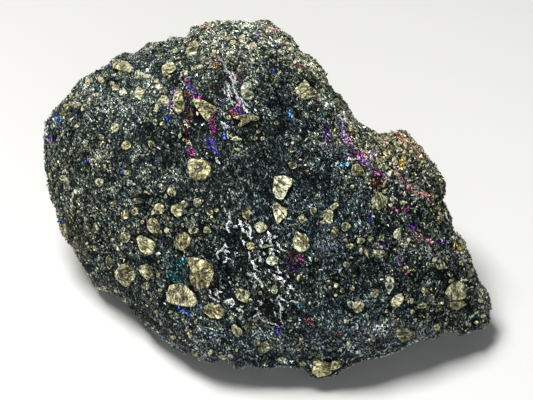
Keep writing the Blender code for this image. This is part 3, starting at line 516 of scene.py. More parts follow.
# Silvery threads grown in the rock, on the layout grid: width, how bright, and the thread's line.
THREADS = [
    (3, .9, (229, 215), (229.5, 219)), (2.6, .9, (232, 224), (229, 221), (226, 225), (227, 229), (229, 232)),
    (3, 1, (235, 225), (236, 227)), (2.6, 1, (238, 219), (240, 224), (242, 229), (243, 232)),
    (2.2, .9, (245, 222), (247, 226), (249, 229)), (2, .8, (240, 221), (242, 226)),
    (2.8, 1, (249, 225), (250, 231), (249, 236), (251, 239)), (2.2, .9, (246, 231), (248, 236)),
    (1.6, .8, (241, 229), (245, 233)), (2.2, 1, (242, 240), (244, 246)), (3, 1, (225, 243), (227, 247)),
    (2, .9, (225, 243), (222, 249), (218, 252), (216, 254)), (2, .8, (219, 251), (225, 250), (229, 252)),
    (2, .9, (224, 250), (226, 255)), (1.7, .8, (217, 255), (219, 258)),
    (2, .85, (231, 259), (227, 257.5), (226, 261), (223, 262)), (2, .9, (249, 252), (250, 257), (249, 260)),
    (3, 1, (251, 260), (254, 265), (254, 269)), (2.2, .8, (253, 262), (256, 267)), (1.7, .8, (258, 250), (258, 254)),
    (2, .8, (259, 256), (259, 260), (261, 262)), (2, .8, (261, 239), (262, 244), (260, 246), (262, 248)),
    (2.6, 1, (267, 232), (270, 236)), (2.5, 1, (268, 235), (269, 240), (271, 246)), (3, .9, (269, 249), (272, 251), (274, 250)),
    (2, .9, (269, 250), (269, 254)), (2, .9, (273, 252), (273, 255)), (3.4, .85, (272, 238), (276, 237)),
    (2.5, 1, (276, 242), (278, 246), (280, 249)), (2, .9, (281, 250), (284, 250)), (2, .7, (276, 251), (279, 253)),
    (1.6, .8, (263, 252), (264, 255)), (1.7, 1, (268, 269), (269, 272)), (2.2, .9, (277, 267), (277, 271), (281, 273)),
    (2, .9, (275, 272), (279, 272)), (2.2, .75, (247, 272), (249, 276), (251, 273)),
    (2.8, 1, (253, 273), (256, 278), (259, 281)), (2.4, 1, (259, 281), (261, 285), (262, 288)),
    (2, .9, (252, 276), (255, 276)), (2.2, 1, (273, 274), (275, 278)), (3, 1, (277, 276), (281, 279), (284, 282)),
    (2, .9, (277, 279), (280, 280)), (1.7, 1, (286, 275), (288, 277)), (2, .8, (281, 282), (283, 285)),
    (2.6, 1, (287, 285), (290, 288), (293, 290)), (2.2, .95, (286, 291), (290, 295)),
    (2.2, .9, (278, 295), (281, 298), (285, 300), (287, 302)), (2, .8, (278, 295), (276, 298), (275, 300)),
    (2.2, .9, (278, 300), (280, 305), (280, 312), (280, 318)), (2, .8, (279, 303), (283, 308)),
    (1.6, .9, (289, 301), (292, 300), (294, 302)), (1.7, .8, (210, 290), (211, 294)),
    (2.1, .9, (209, 295), (213, 298), (219, 301)), (2, 1, (217, 292), (222, 292)), (1.6, .8, (216, 293), (219, 298)),
    (2.6, 1, (236, 308), (240, 310), (243, 312)), (3, 1, (254, 307), (257, 309)), (2.2, .9, (253, 316), (257, 313), (259, 312)),
    (2, .9, (258, 313), (259, 317)), (1.7, .9, (260, 317), (263, 320), (265, 321)), (2, .9, (257, 300), (262, 302)),
    (2.4, 1, (259.5, 303), (260.5, 304)), (2, 1, (269, 322), (273, 323), (278, 325)),
    (2.2, 1, (224, 302), (229, 299), (233, 299)), (2.2, 1, (233, 299), (234, 303), (231, 307)),
    (1.7, 1, (298, 317), (299, 320)), (1.7, 1, (298, 322), (298.5, 324)), (1.7, 1, (297, 325), (297.5, 327)),
    (1.6, .9, (281, 320), (283, 323)), (1.6, .7, (287, 320), (291, 320)), (2.1, .9, (235, 253), (236, 255)),
    (2.1, 1, (237, 283), (238.5, 285)), (2.1, 1, (230, 281), (231, 283)), (1.8, .7, (274, 311), (276, 316)),
    (2, .6, (217, 57), (222, 62), (226, 69)), (3.2, .75, (225, 69), (230, 75), (233, 82), (234, 90)),
    (2.2, .7, (231, 72), (235, 79), (236, 86)), (3.4, .9, (234, 90), (238, 97), (241, 104), (248, 113)),
    (1.8, .65, (227, 91), (230, 99), (233, 106)), (2.2, .6, (223, 90), (225, 95)), (1.8, .7, (241, 98), (245, 104), (250, 108)),
    (2, .6, (226, 82), (229, 90), (232, 97)), (3, 1, (221, 122), (225, 125), (228, 128)), (2, .8, (222, 124), (224, 129)),
    (1.7, .8, (227, 132), (228, 139)), (3, 1, (216, 157), (217, 161), (220, 163)), (2.4, .6, (209, 59), (211, 65), (208, 69)),
    (2.2, .65, (184, 71), (182, 76), (179, 80)), (1.8, .6, (186, 78), (191, 78)), (1.7, .9, (184, 122), (186, 125), (188, 128)),
    (2, .9, (197, 113), (198, 115)), (1.8, .7, (202, 125), (205, 125)), (1.8, .6, (181, 80), (185, 86)),
    (2, .8, (342, 128), (341, 121), (338, 115)), (1.7, .6, (333, 122), (336, 129)), (1.6, .7, (308, 256), (311, 262)),
    (1.7, .6, (404, 241), (406, 247)), (1.7, .7, (421, 173), (425, 180), (429, 188)), (1.6, .7, (413, 184), (417, 189)),
    (2, .8, (420, 191), (424, 196)), (2.4, .9, (412, 202), (418, 197)), (1.6, .7, (391, 196), (396, 200)),
    (1.8, .8, (355, 126), (360, 130)), (1.6, .6, (100, 98), (106, 104)), (1.6, .6, (112, 94), (118, 99), (121, 105)),
    (1.6, .6, (96, 108), (102, 112), (110, 113)), (1.6, .6, (130, 107), (135, 113)), (1.6, .6, (88, 116), (92, 122)),
]
# How much lighter or darker the rock is painted, and how much warmer: x, y, half width, half height, factor, warmth.
# Partly the rock's own tone, partly painted light and shade: lighter over the top, where the light falls from above,
# and darker in hollows.
TONE_LIGHT_AND_SHADE = [
    (205, 125, 16, 16, .62, 0), (282, 92, 15, 18, .50, 0), (236, 140, 12, 10, .70, 0), (335, 236, 30, 34, 1.15, -.6), (322, 318, 32, 14, 1.5, -.2),
    (285, 130, 26, 30, .9, -.1), (170, 148, 18, 18, .62, 0), (222, 278, 13, 18, .55, -.2), (255, 300, 16, 10, .70, 0),
    (120, 85, 80, 48, 1.50, .0), (237, 36, 70, 26, 2.4, .1), (225, 60, 50, 22, 1.20, .1), (312, 75, 24, 32, 1.35, .5),
    (345, 125, 25, 25, 1.35, .3), (400, 148, 42, 22, 1.75, .95), (440, 192, 14, 30, 1.0, .8), (250, 345, 110, 26, 1.55, -.45), (115, 155, 40, 14, 1.2, 0), (316, 122, 18, 26, 1.3, 0), (232, 194, 34, 14, .82, 0),
    (385, 338, 70, 20, 1.5, -.5), (462, 295, 30, 40, .72, .0), (78, 180, 35, 70, 1.12, .3), (72, 245, 16, 40, 1.0, .6),
    (360, 308, 52, 24, 1.42, -.5), (355, 160, 24, 28, 1.18, -.1), (160, 275, 44, 50, .90, .0), (230, 60, 50, 22, 1.10, .1),
    (160, 250, 90, 60, .88, .0), (410, 240, 45, 60, .78, -.15), (300, 210, 70, 60, 1.08, -.3),
]
# Lighter and darker bands and patches of the matrix: factor, reach on the layout grid, and the line. Some are the
# matrix's own streaks; some darker ones lie in hollows as painted shade, and some lighter ones run along ridges as
# painted light.
BAND_LIGHT_AND_SHADE = [
    # upper left and top
    (1.65, 7, (102, 98), (118, 105), (136, 116)), (1.35, 5, (60, 112), (72, 106)), (1.25, 6, (55, 128), (72, 140)),
    (1.45, 8, (205, 60), (215, 68)), (1.35, 6, (222, 50), (242, 56)), (1.4, 5, (245, 60), (260, 74), (272, 92)),
    (1.35, 6, (236, 32), (262, 44)), (1.55, 5, (228, 98), (246, 112), (262, 124)), (1.3, 6, (90, 150), (110, 165), (130, 175)),
    (1.25, 6, (60, 165), (75, 184)), (1.2, 6, (110, 182), (130, 196)), (1.35, 3, (60, 186), (72, 216)),
    (1.3, 5, (150, 55), (166, 60)), (1.4, 5, (188, 30), (205, 24), (230, 22)), (1.3, 5, (86, 112), (96, 122)),
    (1.3, 4, (138, 100), (146, 108)), (1.3, 6, (270, 35), (284, 50), (292, 62)), (1.2, 6, (150, 180), (162, 190)),
    (.55, 6, (164, 70), (174, 88), (188, 80)), (.45, 7, (192, 108), (201, 122)), (.62, 8, (166, 124), (176, 140), (185, 155)),
    (.72, 6, (130, 150), (150, 158), (168, 168)), (.6, 4, (66, 160), (77, 157)), (.7, 5, (75, 172), (81, 200)),
    (.72, 6, (105, 176), (118, 186)), (.5, 8, (264, 86), (275, 100), (284, 114)), (.7, 4, (268, 64), (278, 76)),
    (.75, 10, (226, 152), (250, 170)), (.75, 7, (160, 196), (180, 186), (200, 196)), (.7, 6, (246, 126), (262, 136)),
    (.75, 4, (90, 112), (99, 126)), (.8, 9, (206, 176), (224, 200)), (.6, 4, (150, 62), (158, 72)), (.8, 6, (140, 125), (158, 140)),
    (.7, 3, (120, 98), (130, 96)), (.65, 3, (196, 86), (206, 96)), (.7, 4, (108, 78), (118, 82)),
    # upper right and the knob
    (1.5, 5, (290, 50), (305, 62), (320, 80)), (1.6, 4, (328, 104), (338, 112), (350, 122), (362, 132)),
    (1.45, 4, (322, 110), (329, 125), (336, 142), (346, 156)), (1.35, 2.5, (298, 104), (308, 125), (322, 150), (336, 168)),
    (1.35, 5, (352, 165), (365, 180), (378, 190)), (1.9, 5, (386, 145), (395, 151), (391, 160)),
    (1.7, 5, (374, 155), (385, 170), (395, 178)), (1.5, 2.5, (405, 140), (420, 158), (436, 175), (441, 190)),
    (1.3, 2.5, (400, 170), (415, 176), (430, 192)), (1.3, 6, (300, 98), (306, 110)), (1.2, 6, (345, 200), (352, 212)),
    (.72, 5, (302, 135), (315, 150), (330, 165)), (.5, 7, (408, 166), (420, 176), (430, 186)), (.82, 9, (300, 182), (332, 198)),
    (.75, 4, (310, 110), (318, 126)), (.75, 4, (394, 196), (408, 206)), (.72, 6, (418, 216), (442, 226)),
    (.75, 6, (345, 218), (352, 230)), (.75, 3, (352, 138), (362, 150)), (.8, 4, (354, 192), (368, 196)),
    # lower right
    (1.45, 9, (330, 325), (370, 322), (400, 325), (440, 322)), (1.45, 6, (340, 350), (390, 345), (430, 336)),
    (1.2, 7, (300, 342), (330, 332)), (1.3, 5, (425, 284), (450, 275)), (1.25, 9, (366, 266), (376, 288)),
    (1.25, 8, (320, 222), (332, 246)), (1.4, 4, (405, 246), (430, 238), (446, 240)), (1.4, 5, (426, 252), (432, 258)),
    (1.5, 5, (480, 290), (487, 318)), (1.25, 8, (268, 336), (290, 345)), (1.3, 5, (462, 316), (484, 322)),
    (.45, 5, (355, 238), (366, 248)), (.65, 7, (360, 263), (386, 268)), (.45, 5, (436, 268), (447, 275)),
    (.65, 7, (310, 298), (332, 305)), (.5, 4, (438, 316), (460, 325)), (.75, 6, (345, 306), (358, 318)),
    (.75, 5, (344, 284), (350, 299)), (.7, 5, (290, 335), (300, 345)), (.75, 7, (305, 215), (320, 225)),
    (.5, 5, (268, 305), (277, 316)), (.7, 5, (405, 262), (412, 292)), (.6, 3, (468, 292), (470, 312)), (.7, 4, (420, 272), (430, 278)),
    # lower left
    (1.6, 3.5, (62, 222), (72, 240), (82, 256)), (1.8, 3.5, (95, 286), (112, 293), (126, 301)),
    (1.5, 2.5, (130, 310), (150, 325), (166, 341)), (1.45, 3.5, (170, 330), (190, 345), (202, 356)),
    (1.35, 2.2, (80, 205), (92, 225), (106, 246)), (1.3, 6, (150, 262), (166, 250)), (1.3, 8, (225, 312), (246, 326)),
    (1.2, 5, (120, 205), (150, 205)), (1.35, 6, (252, 346), (282, 352)), (1.3, 4, (206, 350), (230, 358)),
    (1.3, 2.5, (122, 262), (134, 286), (146, 300)), (1.3, 3, (165, 318), (185, 326)),
    (.45, 3.2, (72, 215), (85, 235), (95, 258), (101, 276)), (.5, 2.4, (88, 215), (98, 240), (108, 255), (118, 268)),
    (.55, 3, (110, 280), (125, 290), (140, 305)), (.6, 2.6, (125, 302), (150, 320), (175, 335), (190, 350)),
    (.40, 9, (216, 262), (232, 274), (228, 286)), (.55, 6, (160, 236), (172, 247), (185, 254)), (.65, 7, (205, 216), (222, 225)),
    (.5, 4, (214, 290), (223, 300)), (.6, 4, (195, 320), (206, 328)), (.6, 3, (168, 282), (165, 300)),
    (.55, 6, (245, 291), (262, 300)), (.75, 3, (100, 190), (112, 215)), (.65, 5, (232, 232), (240, 246)),
    (.5, 5, (240, 262), (246, 286)), (.6, 4, (262, 232), (266, 246)), (.7, 5, (268, 296), (272, 306)), (.6, 3, (133, 258), (138, 250)),
]
# Ridges, mounds and hollows of the show face: height in millimetres, reach on the layout grid, and the line.
RIDGES = [
    (1.1, 8, (302, 56), (318, 76), (328, 98), (342, 120), (352, 146), (368, 166), (384, 180), (405, 190), (428, 198)),
    (-1.0, 10, (284, 66), (296, 92), (312, 120), (328, 146), (344, 170)), (-1.5, 12, (412, 172), (424, 180)),
    (0.8, 6, (398, 142), (416, 152), (430, 168), (438, 184)), (-1.3, 8, (170, 152), (176, 142)),
    (-1.2, 8, (192, 110), (197, 124)), (-1.2, 8, (221, 268), (225, 290)), (-1.2, 9, (274, 80), (282, 98)),
    (-0.9, 8, (235, 141), (246, 150)), (0.9, 9, (165, 67), (169, 69)), (0.8, 8, (192, 50), (195, 50)),
    (0.8, 10, (118, 66), (124, 68)), (0.9, 11, (197, 99), (211, 111)), (0.7, 8, (247, 89), (248, 93)),
    (0.7, 13, (110, 100), (126, 110)), (-0.9, 7, (142, 85), (166, 92)), (-0.8, 6, (171, 81), (182, 82)),
    (0.6, 6, (235, 351), (262, 349)), (-0.7, 8, (150, 172), (176, 176)), (0.6, 9, (90, 150), (104, 170)),
    (-0.7, 7, (108, 198), (120, 208)), (0.6, 10, (300, 330), (340, 320)), (-0.8, 9, (336, 262), (362, 270)),
    (0.6, 9, (430, 270), (452, 268)), (-0.8, 7, (385, 262), (396, 250)), (0.7, 8, (226, 66), (240, 100)),
]


def near(points, mark, half_width, half_height):
    """1 at a mark on the layout grid, falling to 0 past its edge, for points on the show face."""
    x, y = mark
    d = ((points[0] - x) / half_width) ** 2 + ((points[1] - y) / half_height) ** 2
    return np.clip(1.35 - d, 0, 1)


def from_line(points, line, margin=12):
    """How far points on the layout grid are from a line of stations."""
    away = np.full(len(points[0]), 99.0)
    low, high = np.min(line, axis=0) - margin, np.max(line, axis=0) + margin
    at = np.flatnonzero((points[0] > low[0]) & (points[0] < high[0]) & (points[1] > low[1]) & (points[1] < high[1]))
    x, y = points[0][at], points[1][at]
    for (x0, y0), (x1, y1) in zip(line[:-1], line[1:], strict=True):
        dx, dy = x1 - x0, y1 - y0
        t = np.clip(((x - x0) * dx + (y - y0) * dy) / (dx * dx + dy * dy), 0, 1)
        away[at] = np.minimum(away[at], np.hypot(x - x0 - t * dx, y - y0 - t * dy))
    return away


def facing(normals):
    """1 where the surface faces the eye, 0 where it turns away."""
    return np.clip((normals @ W) * 6 + 0.6, 0, 1)


spots = grid_of(rock)
lift = np.zeros(len(rock))
for height, reach, *line in RIDGES:
    lift += height * 0.001 * np.exp(-((from_line(spots, line, 3 * reach) / reach) ** 2))
lift *= facing(rock_normals) * (1 - toward_rim**10)
rock = rock + rock_normals * lift[:, None]
rock[:, 2] = np.maximum(rock[:, 2], 0.0)
rock_normals = normals_of(rock, rock_faces)
rock_tree = BVHTree.FromPolygons(rock.tolist(), rock_faces.tolist())

GRAIN_PLAN = unit(0.36 * U - 0.93 * V)      # the crystals tend to lie along this line


# Where the matrix is smooth and finely striped: x, y, half width, half height.
CALM = [(82, 268, 16, 16), (105, 292, 22, 15), (135, 312, 24, 17), (165, 332, 26, 18), (198, 350, 26, 15), (232, 362, 26, 12), (350, 336, 54, 18),
        (405, 328, 35, 12), (300, 345, 30, 12), (330, 245, 18, 24), (84, 240, 10, 30), (425, 180, 12, 12)]


def weave(points, short, long, seed):
    """Wavy streaks that run along the crystals: noise with a spread of about 1."""
    bend = np.stack([read_noise(points, 0.0042, seed + k) for k in (1, 2, 3)], axis=1) * 0.0026
    moved = points + bend
    moved = moved + np.outer((moved @ GRAIN_PLAN) * (short / long - 1), GRAIN_PLAN)
    return read_noise(moved, short, seed) / 0.27


def tarnish_at(points, normals):
    """The film's colour and thickness at each point."""
    spots = grid_of(points)
    seen = facing(normals)
    colour, weight, thick = np.zeros((len(points), 3)), np.zeros(len(points)), np.zeros(len(points))
    for hue, film, width, *line in TARNISH:
        part = np.clip(1.5 - from_line(spots, line) / (width * 0.5), 0, 1) * film * seen
        colour += np.outer(part, HUES[hue])
        weight += part
        thick = np.maximum(thick, part)
    # Elsewhere the film comes in loose streaks whose hue drifts.
    patch = np.clip(read_noise(points, 0.0065, 11) * 3.4 - 1.35, 0, 1) * (1 - seen) * 0.9
    drift = np.clip((read_noise(points, 0.009, 12) * 1.6 + 1) * 3.0, 0, 5.99)
    order = np.array([HUES[h] for h in ("teal", "blue", "indigo", "purple", "magenta", "salmon", "gold")])
    low = np.floor(drift).astype(int)
    mix = (drift - low)[:, None]
    colour += (order[low] * (1 - mix) + order[low + 1] * mix) * patch[:, None]
    thick = np.maximum(thick, patch)
    return colour / np.maximum(weight + patch, 1e-6)[:, None], np.clip(thick, 0, 1)


def silver_at(points, normals):
    """How near a silvery thread runs: 1 beside it, 0 well away."""
    spots = grid_of(points)
    seen = facing(normals)
    share = np.zeros(len(points))
    for width, bright, *line in THREADS:
        share = np.maximum(share, np.clip(1.6 - from_line(spots, line) / width, 0, 1) * bright * seen)
    return share


def tone_light_and_shade_at(points, normals):
    """How light the rock is painted at each point, as a factor on its colour: partly its own tone, partly painted light
    and shade, lighter over the top where the light falls from above, darker in hollows and lighter along ridges.
    """
    spots = grid_of(points)
    seen = facing(normals)
    tone, warmth = np.ones(len(points)), np.zeros(len(points))
    for x, y, half_width, half_height, factor, warm in TONE_LIGHT_AND_SHADE:
        part = near(spots, (x, y), half_width, half_height) * seen
        tone *= 1 + (factor - 1) * part
        warmth += warm * part
    for factor, reach, *line in BAND_LIGHT_AND_SHADE:
        tone *= 1 + (factor - 1) * np.exp(-((from_line(spots, line, 2.5 * reach) / reach) ** 2)) * seen
    tone *= np.exp((0.24 * read_noise(points, 0.0070, 31) + 0.22 * read_noise(points, 0.0028, 32)) / 0.27)
    warmth += (1 - seen) * np.clip(0.2 + 1.2 * read_noise(points, 0.012, 33), -0.3, 0.8)
    warmth = np.clip(warmth, -0.5, 1.2)
    return tone[:, None] * np.stack([1 + 0.26 * warmth, 1 + 0.07 * warmth, 1 - 0.22 * warmth], -1)


# ---- the grains' shapes ------------------------------------------------------------------------------------------
def icosphere(level):
    import bmesh

    bm = bmesh.new()
    bmesh.ops.create_icosphere(bm, subdivisions=level, radius=1.0)
    verts = np.array([v.co for v in bm.verts])
    faces = np.array([[v.index for v in f.verts] for f in bm.faces])
    bm.free()
    return verts, faces


BALLS = {level: icosphere(level) for level in (1, 2, 3, 4)}


def ragged(least=0.80, most=1.16):
    """A random angular outline: the direction and the reach of each corner."""
    count = int(rng.integers(5, 9))
    turn = (np.arange(count) + rng.uniform(-0.34, 0.34, count)) * 2 * math.pi / count + rng.uniform(0, 6.28)
    return turn, rng.uniform(least, most, count)


def pebble(level, outline):
    """A broken grain of unit size over its outline, its top broken into flat faces. Also, per vertex, how near it is to
    the top's edge, negative near the underside's edge, for painted light on the top's edge and painted shade under it."""
    verts, faces = BALLS[level]
    turn, out = np.arctan2(verts[:, 1], verts[:, 0]), np.hypot(verts[:, 0], verts[:, 1])
    at, reach = outline
    corners = np.stack([np.cos(at) * reach, np.sin(at) * reach], -1)[np.argsort(at % (2 * math.pi))]
    ways = np.linspace(-math.pi, math.pi, 181)
    # Where a ray from the middle meets the outline's straight sides.
    edge = np.full(len(ways), 0.3)
    for (x0, y0), (x1, y1) in zip(corners, np.roll(corners, -1, axis=0), strict=True):
        dx, dy = x1 - x0, y1 - y0
        c, s = np.cos(ways), np.sin(ways)
        across = c * dy - s * dx
        across = np.where(np.abs(across) < 1e-9, 1e-9, across)
        t, r = (x0 * s - y0 * c) / across, (x0 * dy - y0 * dx) / across
        edge = np.where((r > 0) & (t >= -0.001) & (t <= 1.001), np.maximum(edge, r), edge)
    limit = np.interp(turn, ways, edge)
    x, y = np.cos(turn) * limit * out, np.sin(turn) * limit * out
    top = np.power(np.clip(1 - out**5, 0, 1), 1 / 2.4)
    for _ in range(int(rng.integers(3, 6))):
        tilt = rng.uniform(0, 6.28)
        slope = abs(rng.normal(0, 0.60))
        plane = rng.uniform(0.52, 0.80) - slope * (math.cos(tilt) * x + math.sin(tilt) * y)
        top = soft_min(top, plane, 0.02)
    top = np.maximum(top, 0.18 * np.power(np.clip(1 - out**5, 0, 1), 1 / 2.4))
    low = -np.power(np.clip(1 - out**3, 0, 1), 1 / 2.0)
    seed = rng.uniform(0, 50)
    place = np.stack([x, y, np.zeros_like(x)], -1)
    inner = np.clip(1 - out**6, 0, 1)
    top = top + inner * 0.13 * read_noise(place, 0.55, seed)
    if level > 2:
        groove = 1 - np.abs(read_noise(place * (1, 0.45, 1), 0.30, seed + 3)) / 0.27
        top = top - inner * 0.10 * np.clip(groove - 0.45, 0, 1)
    if level > 3:
        pits = np.clip(read_noise(place, 0.17, seed + 7) / 0.27 - 1.0, 0, 1)
        top = top - inner * (0.16 * pits - 0.05 * read_noise(place, 0.11, seed + 9))
    z = np.where(verts[:, 2] >= 0, top, low)
    jitter = 1 + 0.05 * read_noise(verts, 0.35, seed + 11)
    # Painted light and shade: 1 at the top's edge, which the tint paints lighter, -1 at the underside's edge, painted
    # darker.
    rim = np.clip((out - 0.55) / 0.3, 0, 1) * np.where(verts[:, 2] >= -0.05, 1.0, -1.0)
    return np.stack([x * jitter, y * jitter, z], -1), faces, verts, rim


def sheet_cells(sizes):
    """Square cells of these relative sizes, set in rows on one sheet: each one's corner and side."""
    order = np.argsort(-sizes)
    scale = 0.93 / math.sqrt(float(np.sum(sizes**2)))
    while True:
        x = y = row = 0.0
        spots = np.zeros((len(sizes), 3))
        for k in order:
            side = sizes[k] * scale
            if x + side > 1:
                x, y, row = 0.0, y + row, 0.0
            row = max(row, side)
            spots[k] = (x, y, side)
            x += side
        if y + row <= 1:
            return spots
        scale *= 0.985


def patch_at(x, y, width, height):
    """The mean place and outward direction of the surface under a patch of the layout grid."""
    hits = [seen_at(x + width * i * 0.3, y + height * j * 0.3) for i in (-1, 0, 1) for j in (-1, 0, 1)]
    hits = [h for h in hits if h is not None]
    if not hits or seen_at(x, y) is None:
        return None
    normal = unit(sum(h[1] for h in hits))
    spot = seen_at(x, y)[0]
    lift = np.mean([(h[0] - spot) @ normal for h in hits])
    return spot + normal * np.clip(lift, -0.0004, 0.0006), normal


placed = []                     # centre, outward direction, the two half axes, height, tone, hue, outline
asked = []
for x, y, width, height, tone in GRAINS:
    # Grains to the upper left are painted paler, partly as painted light from above; those to the right and at the
    # bottom a little paler.
    paler = 0.40 if x < 265 and y < 112 else 0.10 if x > 380 or y > 320 else 0.03
    asked.append((x, y, width, height, tone + paler, rng.uniform(0.08, 0.75), ragged()))
for tone, hue, corners in SHAPED:
    low_x, low_y = np.min(corners, axis=0)
    high_x, high_y = np.max(corners, axis=0)
    x, y, width, height = (low_x + high_x) / 2, (low_y + high_y) / 2, high_x - low_x, high_y - low_y
    a = np.array([(px - x) / (width / 2) for px, _ in corners])
    b = np.array([(y - py) / (height / 2) for _, py in corners])
    asked.append((x, y, width, height, tone, hue, (np.arctan2(b, a), np.hypot(a, b))))
for x, y, wide in CHIPS:
    width, height = wide * rng.uniform(0.75, 1.35), wide * rng.uniform(0.75, 1.25)
    # Chips over the top and on the knob are painted paler, partly as painted light.
    paler = 0.16 if (x < 300 and y < 150) or (x > 360 and y < 210) else 0.0
    asked.append((x, y, width, height, rng.uniform(0.52, 0.90) + paler, rng.uniform(0.05, 0.5), ragged(0.62, 1.25)))
for x, y, width, height, tone, hue, outline in asked:
    hit = patch_at(x, y, width, height)
    if hit is None:
        hit = patch_at(
            RIM_CENTRE[0] + (x - RIM_CENTRE[0]) * 0.975, RIM_CENTRE[1] + (y - RIM_CENTRE[1]) * 0.975, width, height
        )
    if hit is None:
        continue
    spot, normal = hit
    depth = float(-(spot - EYE) @ W) / REACH * UNIT / 2
    steep = max(float(normal @ W), 0.5)
    side = (U - W * float(U @ normal) / steep) * width * depth * 1.05
    rise = (V - W * float(V @ normal) / steep) * height * depth * 1.05
    side -= normal * float(side @ normal)
    rise -= normal * float(rise @ normal)
    least, most = sorted((math.sqrt(side @ side), math.sqrt(rise @ rise)))
    tall = 0.34 * least + 0.12 * most + 0.00025
    placed.append((spot, normal, side, rise, tall, tone, hue, outline))

# The other sides are sown in the same way, at random.
corner = rock[rock_faces]
face_way = np.cross(corner[:, 2] - corner[:, 0], corner[:, 3] - corner[:, 1]) / 2
face_area = np.linalg.norm(face_way, axis=1)
face_way = unit(face_way)
face_spot = corner.mean(axis=1)
hidden = (face_way @ W < 0.16) & (face_spot[:, 2] > 0.0012)
chance = np.where(hidden, face_area, 0)
tries = rng.choice(len(chance), size=2600, p=chance / chance.sum())
sown = [(p[0], max(np.linalg.norm(p[2]), np.linalg.norm(p[3]))) for p in placed]
grain_total = 0
for k in tries:
    if grain_total >= 330:
        break
    radius = float(np.clip(np.exp(rng.normal(math.log(0.00115), 0.42)), 0.0005, 0.0038))
    spot, normal = face_spot[k], face_way[k]
    centres = np.array([s[0] for s in sown])
    reach = np.array([s[1] for s in sown])
    if np.any(np.linalg.norm(centres - spot, axis=1) < (reach + radius) * 0.95 + 0.0003):
        continue
    if spot[2] < radius * 0.9:
        continue
    across = unit(np.cross(normal, unit(rng.normal(size=3))))
    along = np.cross(normal, across)
    long = rng.uniform(1.0, 1.35)
    placed.append((spot, normal, across * radius * long, along * radius / long**0.5,
                   radius * rng.uniform(0.42, 0.62) + 0.0002, float(rng.uniform(0.45, 0.85)),
                   float(rng.uniform(0.05, 0.8)), ragged()))
    sown.append((spot, radius))
    grain_total += 1

# The rock lies level under each grain.
for spot, normal, side, rise, *_ in placed:
    reach = 1.5 * max(np.linalg.norm(side), np.linalg.norm(rise))
    at = np.flatnonzero(np.abs(rock - spot).max(axis=1) < reach)
    if len(at) == 0:
        continue
    d = rock[at] - spot
    gram = np.array([[side @ side, side @ rise], [side @ rise, rise @ rise]])
    q = np.linalg.norm(np.linalg.solve(gram, np.stack([d @ side, d @ rise])), axis=0)
    blend = np.clip((1.45 - q) / 0.45, 0, 1) * (np.abs(d @ normal) < 0.0016)
    rock[at] -= np.outer((d @ normal + 0.00012) * blend, normal)
rock[:, 2] = np.maximum(rock[:, 2], 0.0)
rock_normals = normals_of(rock, rock_faces)
rock_tree = BVHTree.FromPolygons(rock.tolist(), rock_faces.tolist())
corner = rock[rock_faces]
face_way = np.cross(corner[:, 2] - corner[:, 0], corner[:, 3] - corner[:, 1]) / 2
face_area = np.linalg.norm(face_way, axis=1)
face_way = unit(face_way)
face_spot = corner.mean(axis=1)

grain_verts, grain_faces, grain_uv, grain_tint = [], [], [], []
cells = sheet_cells(np.array([np.linalg.norm(p[2]) + np.linalg.norm(p[3]) for p in placed]) ** 0.8)
start = 0
for (spot, normal, side, rise, tall, tone, hue, outline), (cell_x, cell_y, cell) in zip(placed, cells, strict=True):
    size = max(np.linalg.norm(side), np.linalg.norm(rise))
    level = 4 if size > 0.0024 else 3 if size > 0.00115 else 2 if size > 0.00066 else 1
    shape, faces, round_shape, rim = pebble(level, outline)
    verts = spot - normal * tall * 0.10 + shape[:, :1] * side + shape[:, 1:2] * rise + shape[:, 2:] * normal * tall
    verts[:, 2] = np.maximum(verts[:, 2], 0.0002)
    grain_verts.append(verts)
    turned_over = float(np.cross(side, rise) @ normal) < 0
    grain_faces.append((faces[:, ::-1] if turned_over else faces) + start)
    start += len(verts)
    middle = round_shape[faces].mean(axis=1)
    upper = middle[:, 2] > -0.1
    around = round_shape[faces[:, ::-1] if turned_over else faces]
    turn = np.arctan2(around[..., 1], around[..., 0])
    away_top = np.arccos(np.clip(around[..., 2], -1, 1)) / (math.pi * 0.62)
    away_low = (math.pi - np.arccos(np.clip(around[..., 2], -1, 1))) / (math.pi * 0.55)
    spread = np.where(upper[:, None], away_top * 0.36, away_low * 0.11)
    base = np.where(upper, 0.39, 0.87)[:, None]
    u = cell_x + cell * (base + spread * np.cos(turn))
    v = cell_y + cell * (base + spread * np.sin(turn))
    grain_uv.append(np.stack([u, v], -1))
    tint = np.tile([tone, hue, rng.uniform(), 1.0], (len(verts), 1))
    # The alpha paints a highlight along the top's edge and shade along the underside's edge.
    tint[:, 3] = rim * 0.5 + 0.5
    grain_tint.append(tint)
grain_verts, grain_faces = np.concatenate(grain_verts), np.concatenate(grain_faces)
grain_uv, grain_tint = np.concatenate(grain_uv), np.concatenate(grain_tint)
# A shape whose axes run the other way round has its faces turned.
print("grains", len(placed), len(grain_faces), "triangles")

# ---- the crust of small crystals --------------------------------------------------------------------------------
def turned(a, b, angle):
    """The pair of directions a, b, turned by an angle in their own plane."""
    c, s = np.cos(angle)[:, None], np.sin(angle)[:, None]
    return a * c + b * s, b * c - a * s


def scatter(count, weight):
    """Random places on the rock, more of them where the weight is more: place, outward direction, face."""
    share = face_area * weight
    face = rng.choice(len(share), size=count, p=share / share.sum())
    s, t = rng.random((count, 1)), rng.random((count, 1))
    a, b, c, d = (rock[rock_faces[face, k]] for k in range(4))
    na, nb, nc, nd = (rock_normals[rock_faces[face, k]] for k in range(4))
    place = (a * (1 - s) + b * s) * (1 - t) + (d * (1 - s) + c * s) * t
    way = unit((na * (1 - s) + nb * s) * (1 - t) + (nd * (1 - s) + nc * s) * t)
    return place, way, face


